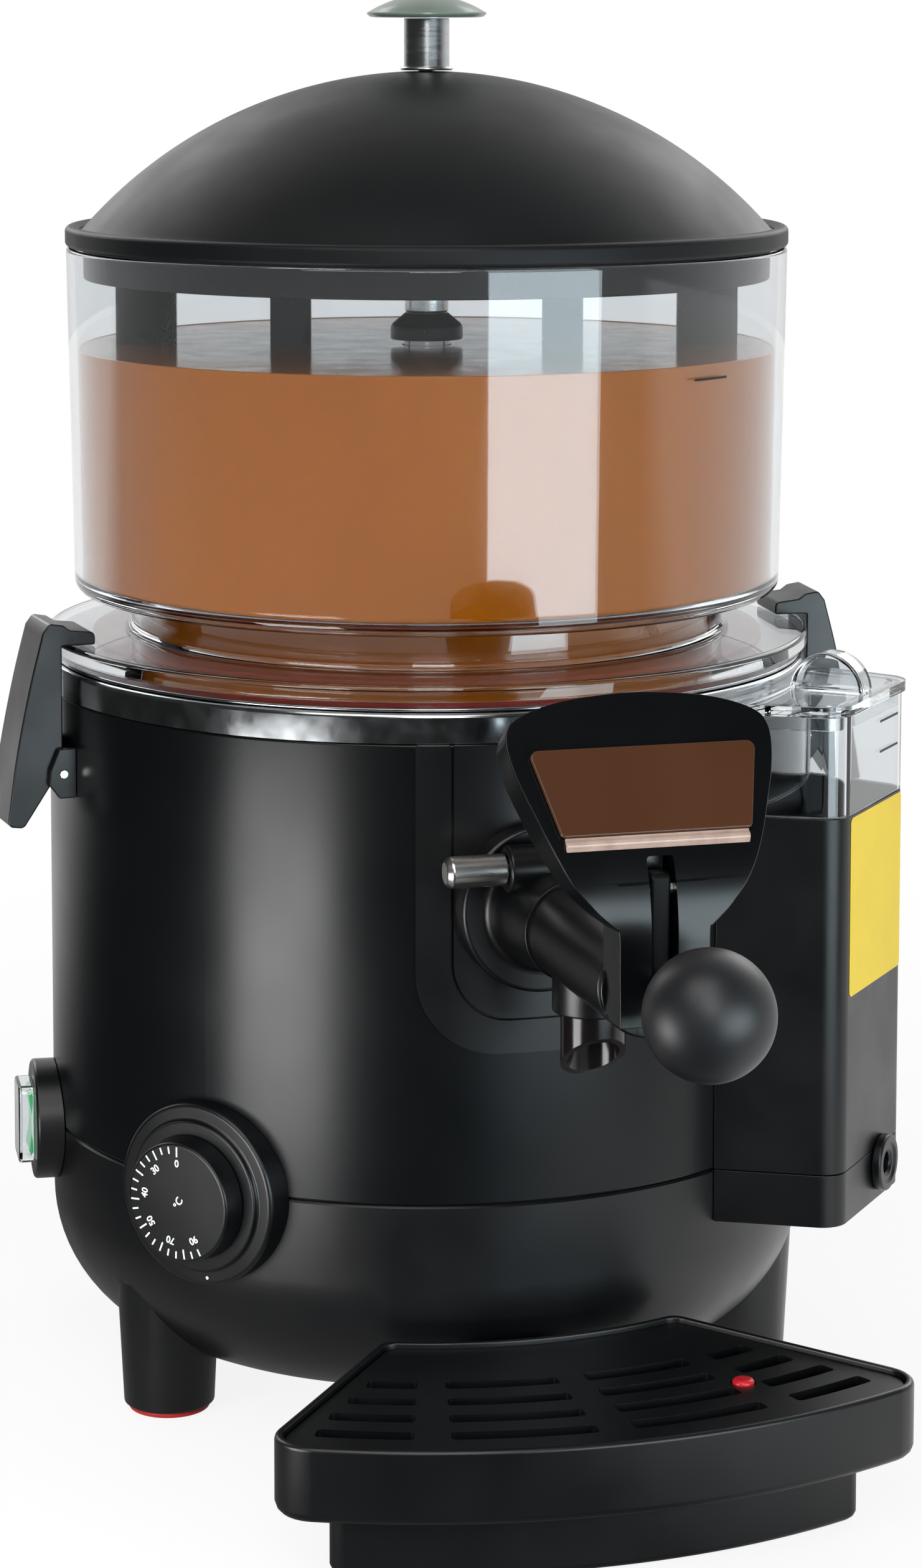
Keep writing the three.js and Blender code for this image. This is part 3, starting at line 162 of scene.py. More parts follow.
def turned(name, profile, seat=Matrix(), count=192):
    """A closed outline of (radius, height) turned round the seat's Z axis."""
    shape = bmesh.new()
    rings = []
    for radius, height in profile:
        if radius < 1e-6:
            rings.append([shape.verts.new((0, 0, height))])
            continue
        rings.append([
            shape.verts.new((radius * math.cos(math.tau * k / count), radius * math.sin(math.tau * k / count), height))
            for k in range(count)])
    for i, ring in enumerate(rings):
        other = rings[(i + 1) % len(rings)]
        if len(ring) == 1 and len(other) == 1:
            continue
        for k in range(count):
            quad = [ring[k % len(ring)], ring[(k + 1) % len(ring)], other[(k + 1) % len(other)], other[k % len(other)]]
            shape.faces.new(list(dict.fromkeys(quad)))
    shape.transform(seat)
    return linked(name, shape)


def rod(radius, low, high, seat=Matrix(), count=48):
    """A plain round bar, for a bore or as part of a larger piece."""
    return turned("rod", oblong(0, low, radius, high), seat, count)


def prism(name, outline, low, high, seat=Matrix()):
    shape = bmesh.new()
    bottom = [shape.verts.new((x, y, low)) for x, y in outline]
    top = [shape.verts.new((x, y, high)) for x, y in outline]
    shape.faces.new(bottom)
    shape.faces.new(top)
    for k in range(len(outline)):
        after = (k + 1) % len(outline)
        shape.faces.new((bottom[k], bottom[after], top[after], top[k]))
    shape.transform(seat)
    return linked(name, shape)


def wrapped(name, outline, radius, thickness):
    """A flat outline of (across, height), bent round the front of the casing and thickened outward."""
    strip = 2.0
    shape = bmesh.new()
    shape.faces.new([shape.verts.new((x, y, 0)) for x, y in outline])
    low = min(x for x, _ in outline)
    high = max(x for x, _ in outline)
    count = int((high - low) / strip)
    for k in range(1, count):
        geometry = shape.verts[:] + shape.edges[:] + shape.faces[:]
        at = low + (high - low) * k / count
        bmesh.ops.bisect_plane(shape, geom=geometry, plane_co=(at, 0, 0), plane_no=(1, 0, 0))
    grown = bmesh.ops.extrude_face_region(shape, geom=shape.faces[:])
    outer = {v for v in grown["geom"] if isinstance(v, bmesh.types.BMVert)}
    for vert in shape.verts:
        reach = radius + (thickness if vert in outer else 0)
        turn = vert.co.x / radius
        vert.co = Vector((reach * math.sin(turn), -reach * math.cos(turn), vert.co.y))
    return linked(name, shape)


def settle(made):
    """Turns a piece and its modifiers into a plain mesh."""
    graph = bpy.context.evaluated_depsgraph_get()
    mesh = bpy.data.meshes.new_from_object(made.evaluated_get(graph))
    made.modifiers.clear()
    made.data = mesh
    return made


def shaped(made, kind, **settings):
    modifier = made.modifiers.new(kind.lower(), kind)
    for key, value in settings.items():
        setattr(modifier, key, value)
    return settle(made)


def combine(made, operation, *others):
    for other in others:
        modifier = made.modifiers.new("combine", "BOOLEAN")
        modifier.operation = operation
        modifier.solver = "EXACT"
        modifier.object = other
        settle(made)
        bpy.data.objects.remove(other)
    return made


def cut(made, *tools):
    return combine(made, "DIFFERENCE", *tools)


def weld(made, *others):
    return combine(made, "UNION", *others)


def softened(made, width, segments=3, angle=30):
    return shaped(made, "BEVEL", width=width, segments=segments, limit_method="ANGLE",
                  angle_limit=math.radians(angle), harden_normals=False, use_clamp_overlap=True)


def dress(made, body, material, slot, *stands_for, crisp=35):
    """Brings a finished shape into the row frame and onto its body."""
    made.data.transform(TO_FRAME)
    for polygon in made.data.polygons:
        polygon.use_smooth = True
    made.data.set_sharp_from_angle(angle=math.radians(crisp))
    # Broad faces keep their own normals, so that straight walls mirror straight
    shaped(made, "WEIGHTED_NORMAL", weight=80, keep_sharp=True)
    made.data.materials.clear()
    made.data.materials.append(material)
    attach(made, body)
    if stands_for:
        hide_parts(*stands_for)


# Materials

def linear(colour):
    """A hex sRGB colour as linear RGBA."""
    channels = [int(colour[i:i + 2], 16) / 255 for i in (1, 3, 5)]
    return (*(c / 12.92 if c <= 0.04045 else ((c + 0.055) / 1.055) ** 2.4 for c in channels), 1.0)


def add(tree, kind, settings, links=None):
    """One node with its settings and what feeds it. A key is a socket's name or number, or a property."""
    made = tree.nodes.new(kind)
    for key, value in settings.items():
        if isinstance(key, int) or key in made.inputs:
            made.inputs[key].default_value = value
        else:
            setattr(made, key, value)
    for key, source in (links or {}).items():
        tree.links.new(source, made.inputs[key])
    return made


def finish(name, colour, roughness, sockets=None, tone=None, uneven=None, grain=None, stretch=(1, 1, 1)):
    """tone is (second colour, size in mm, most share), uneven is (size in mm, rougher by),
    grain is (size in mm, depth in mm), and stretch scales the pattern's axes."""
    made = bpy.data.materials.new(name)
    made.use_nodes = True
    tree = made.node_tree
    shader = tree.nodes["Principled BSDF"]
    shader.inputs["Base Color"].default_value = linear(colour)
    shader.inputs["Roughness"].default_value = roughness
    for key, value in (sockets or {}).items():
        shader.inputs[key].default_value = value
    place = add(tree, "ShaderNodeTexCoord", {})
    scaled = add(tree, "ShaderNodeMapping", {"Scale": stretch}, {"Vector": place.outputs["Object"]})
    where = scaled.outputs["Vector"]
    if tone:
        second, size, most = tone
        cloud = add(tree, "ShaderNodeTexNoise", {"Scale": 1 / (size * METRES), "Detail": 3.0}, {"Vector": where})
        share = add(tree, "ShaderNodeMapRange", {"From Min": 0.35, "From Max": 0.7, "To Min": 0.0, "To Max": most},
                    {"Value": cloud.outputs["Fac"]})
        mixed = add(tree, "ShaderNodeMix", {"data_type": "RGBA", 6: linear(colour), 7: linear(second)},
                    {0: share.outputs["Result"]})
        tree.links.new(mixed.outputs[2], shader.inputs["Base Color"])
    if uneven:
        size, rougher = uneven
        cloud = add(tree, "ShaderNodeTexNoise", {"Scale": 1 / (size * METRES), "Detail": 2.0}, {"Vector": where})
        spread = add(tree, "ShaderNodeMapRange", {
            "From Min": 0.3, "From Max": 0.7, "To Min": roughness, "To Max": roughness + rougher},
            {"Value": cloud.outputs["Fac"]})
        tree.links.new(spread.outputs["Result"], shader.inputs["Roughness"])
    if grain:
        size, depth = grain
        grit = add(tree, "ShaderNodeTexNoise", {"Scale": 1 / (size * METRES), "Detail": 2.0}, {"Vector": where})
        bump = add(tree, "ShaderNodeBump", {"Strength": 1.0, "Distance": depth * METRES},
                   {"Height": grit.outputs["Fac"]})
        tree.links.new(bump.outputs["Normal"], shader.inputs["Normal"])
    return made


# Semi-gloss stoved enamel on steel: a deep black with a soft orange-peel sheen
stoved_enamel = finish("stoved_enamel", "#06080a", 0.27, {"Specular IOR Level": 0.36},
                       uneven=(40, 0.05), grain=(1.6, 0.012))
# Moulded ABS with a fine spark-eroded surface
moulded_abs = finish("moulded_abs", "#07080a", 0.3, {"Specular IOR Level": 0.5},
                     uneven=(25, 0.08), grain=(0.7, 0.012))
# Polished ABS, as the front of the tap head
polished_abs = finish("polished_abs", "#08090b", 0.2, {"Specular IOR Level": 0.4},
                      uneven=(30, 0.05), grain=(2.5, 0.006))
# Matte polypropylene of the lid, with grain that spreads the light
matte_polypropylene = finish("matte_polypropylene", "#0c0e10", 0.46, {"Specular IOR Level": 0.32},
                             tone=("#121416", 18, 0.5), uneven=(30, 0.08), grain=(0.6, 0.03))
# Black nylon of the stirring frame, wet and slightly glossy
wet_nylon = finish("wet_nylon", "#0d0e10", 0.26, {"Specular IOR Level": 0.35}, uneven=(9, 0.15), grain=(0.8, 0.01))
# Clear polycarbonate: polished, slightly grey in its thickness
clear_polycarbonate = finish("clear_polycarbonate", "#e8ebed", 0.015, {
    "Transmission Weight": 1.0, "IOR": 1.49, "Specular IOR Level": 0.5}, uneven=(60, 0.01), grain=(30, 0.02))
# Smoked polycarbonate of the spout, stained brown by the drink
smoked_polycarbonate = finish("smoked_polycarbonate", "#181314", 0.12, {
    "Transmission Weight": 0.25, "IOR": 1.49}, tone=("#0e0b0a", 8, 0.8), uneven=(6, 0.12), stretch=(1, 1, 0.3))
# Hot chocolate made with milk: a warm brown that scatters a little light
hot_chocolate = finish("hot_chocolate", "#be6b08", 0.13, {
    "Specular IOR Level": 0.35, "Subsurface Weight": 0.12, "Subsurface Radius": (0.004, 0.002, 0.001),
    "Subsurface Scale": 1.0}, tone=("#b06007", 40, 0.5), uneven=(12, 0.06), grain=(14, 0.012), stretch=(1, 1, 0.35))
# Black acetal of the lever's blade, dull where it works in the slot
black_acetal = finish("black_acetal", "#050607", 0.5, {"Specular IOR Level": 0.15},
                      tone=("#0a0b0c", 4, 0.5), grain=(0.5, 0.01))
# Phenolic of the lever's ball, tumbled to a satin that spreads the light into one soft patch
satin_phenolic = finish("satin_phenolic", "#0f1013", 0.42, {"Specular IOR Level": 0.6},
                        tone=("#15161a", 12, 0.5), uneven=(14, 0.05), grain=(0.5, 0.012))
# Brushed stainless steel, its lines running round the turned pieces
brushed_stainless = finish("brushed_stainless", "#c9cbcc", 0.2, {"Metallic": 1.0},
                           tone=("#aeb1b3", 3, 0.5), uneven=(1.5, 0.14), grain=(0.5, 0.004), stretch=(0.08, 0.08, 1))
# Polished stainless steel of the bath rim and the well
polished_stainless = finish("polished_stainless", "#bcbfc1", 0.12, {"Metallic": 1.0},
                            tone=("#a6a9ab", 12, 0.5), uneven=(8, 0.1), grain=(6, 0.01))
# Satin-chromed steel of the tap's pull pin, with a soft bright line along it
chromed_steel = finish("chromed_steel", "#d3d2cf", 0.24, {"Metallic": 1.0}, uneven=(2, 0.1), grain=(0.6, 0.003),
                       stretch=(0.1, 1, 1))
# Zinc-plated steel inside the casing
zinc_plate = finish("zinc_plate", "#a9acad", 0.34, {"Metallic": 1.0},
                    tone=("#8b8f92", 6, 0.7), uneven=(4, 0.2), grain=(2, 0.01))
# Painted cast zinc of the gearmotor
cast_zinc = finish("cast_zinc", "#6f7377", 0.48, {"Metallic": 0.6}, tone=("#5b5f63", 10, 0.6), grain=(1.5, 0.04))
# Sintered bronze of the shaft bush
sintered_bronze = finish("sintered_bronze", "#a97c3f", 0.42, {"Metallic": 1.0},
                         tone=("#7f5c2f", 1.5, 0.7), grain=(0.6, 0.02))
# Heater sheath, straw and grey from use
heated_sheath = finish("heated_sheath", "#7a726a", 0.42, {"Metallic": 1.0},
                       tone=("#5a4a3a", 14, 0.8), uneven=(6, 0.2), grain=(1, 0.01))
# Urea moulding of the thermostat
urea_moulding = finish("urea_moulding", "#d9d3c5", 0.5, tone=("#c8c0ae", 12, 0.5), grain=(0.8, 0.01))
# Silicone rubber of the seals and feet, brick red
red_silicone = finish("red_silicone", "#b0231f", 0.5, {"Specular IOR Level": 0.4},
                      tone=("#92191a", 10, 0.6), grain=(0.7, 0.03))
# Neoprene of the cable gland
black_neoprene = finish("black_neoprene", "#141517", 0.62, tone=("#1d1e20", 6, 0.6), grain=(0.6, 0.03))
# Polished green polycarbonate of the lit switch
green_polycarbonate = finish("green_polycarbonate", "#1fa35a", 0.18, {
    "Transmission Weight": 0.2, "Emission Color": linear("#1fb060"), "Emission Strength": 0.25},
    tone=("#3fc47a", 6, 0.5), grain=(1.2, 0.02))
# Grey-green acetal cap of the knob
knob_acetal = finish("knob_acetal", "#7c8c81", 0.3, {"Specular IOR Level": 0.5, "Coat Weight": 0.2},
                     tone=("#6e7d73", 8, 0.6), grain=(0.8, 0.01))
# Screen-printed acrylic of the badge, brown with a polished face
printed_acrylic = finish("printed_acrylic", "#4f2f1d", 0.22, {"Specular IOR Level": 0.4, "Coat Weight": 0.2},
                         tone=("#46291a", 25, 0.5), grain=(4, 0.006))
# The badge's rolled lower lip, coloured light pink as a painted highlight where the clear face over the print catches
# the light
badge_lip_painted_highlight = finish("badge_lip_painted_highlight", "#b79c8f", 0.28, {"Coat Weight": 0.3}, tone=("#8c6a5a", 7, 0.6), grain=(2, 0.006))
# Yellow vinyl label on the tank
yellow_vinyl = finish("yellow_vinyl", "#efcb10", 0.42, tone=("#e6c00e", 20, 0.5), grain=(1.5, 0.01))
# White pad-printed ink of the dial
white_ink = finish("white_ink", "#eef0f0", 0.5, tone=("#dcdfe0", 3, 0.4), grain=(0.5, 0.005))
# Black screen-printed ink of the level lines
black_ink = finish("black_ink", "#15171a", 0.5, tone=("#222528", 3, 0.4), grain=(0.5, 0.005))
# Red acetal of the level float
red_acetal = finish("red_acetal", "#d3202a", 0.28, {"Specular IOR Level": 0.5},
                    tone=("#bd1822", 3, 0.5), grain=(0.7, 0.01))

for node, material in {
    "bottom_plate": zinc_plate, "bottom_screw_1": zinc_plate, "bottom_screw_2": zinc_plate,
    "bottom_screw_3": zinc_plate, "motor_strap": zinc_plate, "gearmotor": cast_zinc,
    "shaft_bush": sintered_bronze, "heater_ring": heated_sheath, "thermostat": urea_moulding,
    "lever_pivot": brushed_stainless, "return_spring": brushed_stainless, "valve_rod": brushed_stainless,
    "valve_seal": red_silicone, "latch_pin_left": chromed_steel, "latch_pin_right": chromed_steel,
}.items():
    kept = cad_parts[node].data.materials
    kept.clear()
    kept.append(material)


# Casing

def casing():
    shell = turned("casing_shell", rounded([
        (129.4, 88.3, 0.3), (CASING, 88.3, 0.7), (CASING, 238, 0.7), (129.4, 238, 0.3)], 3))
    cut(shell, rod(3.3, 120, 140, DIAL, 32), rod(14.3, 120, 140, SWITCH), rod(9.3, 120, 140, TAP),
        rod(5.3, 120, 140, TANK_FEED, 32))
    dress(shell, "casing", stoved_enamel, "black_gloss_paint", "body_shell")

    inner = 129.1
    base = turned("base_moulding_finished", [
        (62, 14.5), *arc((84.5, 61), 46.5, -90, 0, 20), (CASING, 87.2), (130.2, 88), (inner, 88), (inner, 95),
        (inner - 2.5, 95), (inner - 2.5, 80), (128, 77), *arc((84.5, 61), 43.5, 0, -90, 20), (62, 17.5)])
    for angle in LEG_ANGLES:
        seat = upright(angle, LEG_REACH)
        weld(base, turned("post", rounded([(0, 2), (15.2, 2, 0.8), (17.4, 46.5, 1), (0, 46.5)], 3), seat, 64))
        cut(base, rod(6.3, 0, 13.3, seat, 32))
    cut(base, rod(3.3, 115, 140, DIAL, 32), rod(14.3, 115, 140, SWITCH), rod(7.3, 115, 140, GLAND))
    dress(base, "casing", moulded_abs, "black_moulding", "base_moulding", crisp=40)

    for number, angle in enumerate(LEG_ANGLES, 1):
        pad = turned(f"foot_pad_{number}", rounded([
            (0, 0), (13.4, 0, 0.7), (14.1, 1.7, 0.5), (6, 1.7), (6, 13, 1), (0, 13)], 4), upright(angle, LEG_REACH), 64)
        dress(pad, "casing", red_silicone, "red_rubber", f"foot_{number}")

    first, pitch = 136.5, 2.6
    ribs = [(7, first)]
    for rib in range(3):
        start = first + rib * pitch
        ribs += [(6.2, start + 0.4), (6.2, start + 1.2), (7, start + 1.6), (7, start + pitch)]
    sleeve = turned("cable_sleeve", [
        (7, 120), (7, 131.4), (9.2, 131.4), (10, 132.2), (10, 133), (9.2, 133.6), *ribs,
        (6.6, 144.6), (4, 144.6), (4, 120)], GLAND, 64)
    dress(sleeve, "casing", black_neoprene, "black_rubber", "cable_gland")


# Bath, well, bowl and drink

def vessels():
    rim = turned("bath_rim", rounded([
        (CASING, 238.3), (CASING, 248, 1.6), (119, 248, 0.8), (119, 136), *arc((113, 136), 6, 0, -90, 6), (6.4, 130),
        (6.4, 296), (5.4, 296), (5.4, 129), (113, 129), (116, 129.7), (120, 133), (120, 247), (129.6, 246.8),
        (130, 238.3)], 4))
    weld(rim, turned("pipe", oblong(3.5, 119.6, 5, 140), TANK_FEED, 48))
    cut(rim, rod(3.5, 112, 145, TANK_FEED), rod(9.3, 112, 125, TAP))
    dress(rim, "casing", polished_stainless, "steel", "bath_pan")

    well = turned("chocolate_well", rounded([
        (129.5, 249.3, 0.4), (129.5, 248.3, 0.4), (99.2, 248.3), (99.2, 172.3, 5), (7, 172.3), (7, 358.5, 0.3),
        (8, 358.5, 0.3), (8, 173.3, 0.5), (98.2, 173.3, 4.5), (98.2, 249.3, 0.5)], 5))
    cut(well, rod(7, 93, 155, TAP, 64))
    dress(well, "casing", polished_stainless, "steel", "steel_well")
    stub = turned("outlet_stub", rounded([(7, 98.2), (9, 98.2), (9, 150, 0.6), (7, 150, 0.6)], 3), TAP, 64)
    cut(stub, rod(99.5, 160, 210, count=192))
    dress(stub, "casing", polished_stainless, "steel", "outlet_pipe")

    seal = turned("bowl_seal", oblong(100, 249.6, 116, 251.1, 0.5, 3), count=160)
    dress(seal, "casing", red_silicone, "red_rubber", "bowl_gasket")

    bowl = turned("clear_bowl", rounded([
        (99.5, 251.4, 0.8), (132, 251.4, 1.2), (132, 257, 1.6), (102.5, 257, 2.4), (102.5, 269.6, 1.4),
        (121.9, 270.6, 3.6), (124, 388.2, 1.2), (121, 388.2, 1.2), (119.3, 273.6, 3.2), (99.5, 272.6, 1.6)], 6),
        count=256)
    dress(bowl, "casing", clear_polycarbonate, "clear", "bowl", crisp=60)

    # The drink fills the well and most of the bowl, up to its level, with low ripples short of the wall
    level, wall, ripple = 354, 119.5, 0.04
    outer = rounded([
        (97.8, 173.7, 4), (97.8, 250), (99.1, 251.4), (99.1, 273, 1.6), (118.9, 274, 3.2), (120.1, level + 0.6, 0.4),
        (119.2, level, 0.6)], 4)
    top = [(119 - 110.4 * k / 26, level) for k in range(27)]
    drink = turned("chocolate_drink", [(8.4, 173.7), *outer, *top])
    for vert in drink.data.vertices:
        x, y, z = vert.co
        reach = math.hypot(x, y)
        if abs(z - level) < 0.05 and reach < wall:
            swell = math.sin(x / 9 + 1.3) * math.cos(y / 11) + 0.6 * math.sin((x + y) / 5.3) * math.cos((x - y) / 6.7)
            vert.co.z = level + ripple * swell * min(1, (wall - reach) / 6)
    dress(drink, "casing", hot_chocolate, "smoked", crisp=50)

    # Level mark printed on the bowl's outer wall
    mark = wrapped("bowl_level_mark", oblong(63, 349.3, 80, 350.1), 123.45, 0.05)
    dress(mark, "casing", black_ink, "matte_black")


# Drive and stirring frame

def mixer():
    shaft = turned("drive_shaft_finished", rounded([
        (0, 83.3), (4, 83.3, 0.4), (4, 365.3), (7.5, 365.3, 0.8), (7.5, 383.7, 0.8), (4, 383.7), (4, 399, 0.4),
        (0, 399)], 3), count=64)
    dress(shaft, "mixer", brushed_stainless, "steel", "drive_shaft")
    hood = turned("splash_hood", [
        (8.6, 356), (12.1, 356), (12.5, 356.4), (12.5, 360.2), (11.8, 361.4), (7.5, 365), (4.3, 365),
        (4.3, 359.1), (8.6, 359.1)], count=80)
    dress(hood, "mixer", wet_nylon, "matte_black", "splash_collar")
    half = rounded([
        (0, 384), (39.9, 384, 3), (40, 186, 2), (54, 186, 2), (54, 276, 1.5), (107.5, 276, 3), (107.5, 392, 3),
        (0, 392)], 4)
    wing, other = (cut(prism(name, half, -2, 2, facing(0)),
                       prism("tool", oblong(54, 287, 86.5, 384, 2, 4), -4, 4, facing(0)))
                   for name in ("stirring_frame", "other_wing"))
    other.data.transform(spin(180))
    weld(wing, other)
    softened(wing, 0.7, 3)
    weld(wing, turned("hub", rounded([(0, 384), (9, 384, 0.6), (9, 396, 1.2), (0, 396)], 4), count=64))
    cut(wing, rod(4.3, 380, 400))
    wing.data.transform(spin(-15.5))
    dress(wing, "mixer", wet_nylon, "matte_black", "mixer_paddle")
    nut = turned("cap_nut", rounded([
        (0, 401), (3.2, 401, 0.6), (6.5, 398.2, 1), (6.5, 396.3, 0.3), (4.3, 396.3), (4.3, 399.3),
        (0, 399.3)], 3), count=6)
    dress(nut, "mixer", brushed_stainless, "steel", "mixer_nut")


# Lid

def lid():
    outside, inside = 157, 154.8
    centre = 448 - outside
    bore = 3.2

    def bearing(across, radius):
        """The angle at which an arc about the axis is that far across."""
        return math.degrees(math.acos(across / radius))

    dome = arc((0, centre), outside, bearing(bore, outside), bearing(118.6, outside), 40)
    under = arc((0, centre), inside, bearing(115.8, inside), bearing(bore, inside), 40)
    edge = rounded([
        (119.4, 394.2, 1.2), (121.2, 395.6, 0.8), (124.3, 395.4, 1.8), (124.3, 388.6, 1.6), (118.2, 388.5, 0.4),
        (118, 378, 0.7), (115.8, 378, 0.7)], 5)
    cover = turned("lid_dome", [*dome, *edge, *under], count=224)
    dress(cover, "lid", matte_polypropylene, "matte_black", "lid", crisp=45)
    post = turned("lid_post", rounded([
        (0, 443.6), (2.9, 443.6), (2.9, 448.3), (9, 448.3, 0.5), (9, 449.5, 0.5), (7.8, 449.5), (7.8, 466, 0.3),
        (0, 466)], 3), count=72)
    dress(post, "lid", brushed_stainless, "steel", "lid_stem")
    crown = 37.3
    cap_dome = arc((0, 474 - crown), crown, bearing(19.9, crown), 90, 14)
    cap = turned("knob_cap", [
        (0, 466.3), (17.5, 466.3), (19.6, 466.6), (20.5, 467.5), (20.45, 468), *cap_dome[:-1], (0, 474)], count=96)
    dress(cap, "lid", knob_acetal, "grey_green_cap", "lid_knob", crisp=50)


# Tap

# The shield's height above its knee and half its width, where the knee is, how round it is, and how far it leans
SHIELD_TOP = 60.4
SHIELD_HALF = 40.5
KNEE_REACH, KNEE_HEIGHT = 257, 219.6
BEND = 60
LEAN = math.radians(32.7)
BEND_REACH = BEND * math.tan(LEAN / 2)

# Half widths of the head as shares of the shield's, by the height up its face from the knee
HEAD_SIDE = [
    (-41.6, 0.335), (-34, 0.335), (-27.5, 0.338), (-14.1, 0.34), (-12.5, 0.36), (-10.4, 0.415), (-7.5, 0.49),
    (-4.6, 0.55), (0, 0.64), (6, 0.72), (14.5, 0.805), (24.2, 0.885), (33.8, 0.96), (42.3, 1), (48.3, 0.995),
    (52.5, 0.93), (56.2, 0.74), (58.9, 0.45), (60.4, 0)]


def head_outline(inset=0, start=-41.6):
    side = smooth_line([(SHIELD_HALF * wide, up) for up, wide in HEAD_SIDE], 4)
    side = [(max(x - inset, 0), min(y, SHIELD_TOP - inset)) for x, y in side if y >= start]
    side = [p for i, p in enumerate(side) if i == 0 or (Vector(p) - Vector(side[i - 1])).length > 0.3]
    side = [p for p in side if p[0] > 0.2]
    return [*side, *[(-x, y) for x, y in reversed(side)]]


def on_face(made):
    """Bends a piece drawn flat (across, up from the knee, out) over the head's curved face."""
    shape = bmesh.new()
    shape.from_mesh(made.data)
    # A cut at every millimetre keeps the bend smooth
    for k in range(-17, 19):
        geometry = shape.verts[:] + shape.edges[:] + shape.faces[:]
        bmesh.ops.bisect_plane(shape, geom=geometry, plane_co=(0, k, 0), plane_no=(0, 1, 0))
    for vert in shape.verts:
        across, up, ahead = vert.co
        turn = min(max((up + BEND_REACH) / (2 * BEND_REACH), 0), 1) * LEAN
        reach = KNEE_REACH - BEND * (1 - math.cos(turn))
        height = KNEE_HEIGHT - BEND_REACH + BEND * math.sin(turn) + min(up + BEND_REACH, 0)
        beyond = max(up - BEND_REACH, 0)
        reach += ahead * math.cos(turn) - beyond * math.sin(turn)
        height += ahead * math.sin(turn) + beyond * math.cos(turn)
        vert.co = Vector((across, -reach, height))
    shape.to_mesh(made.data)
    shape.free()
    return made


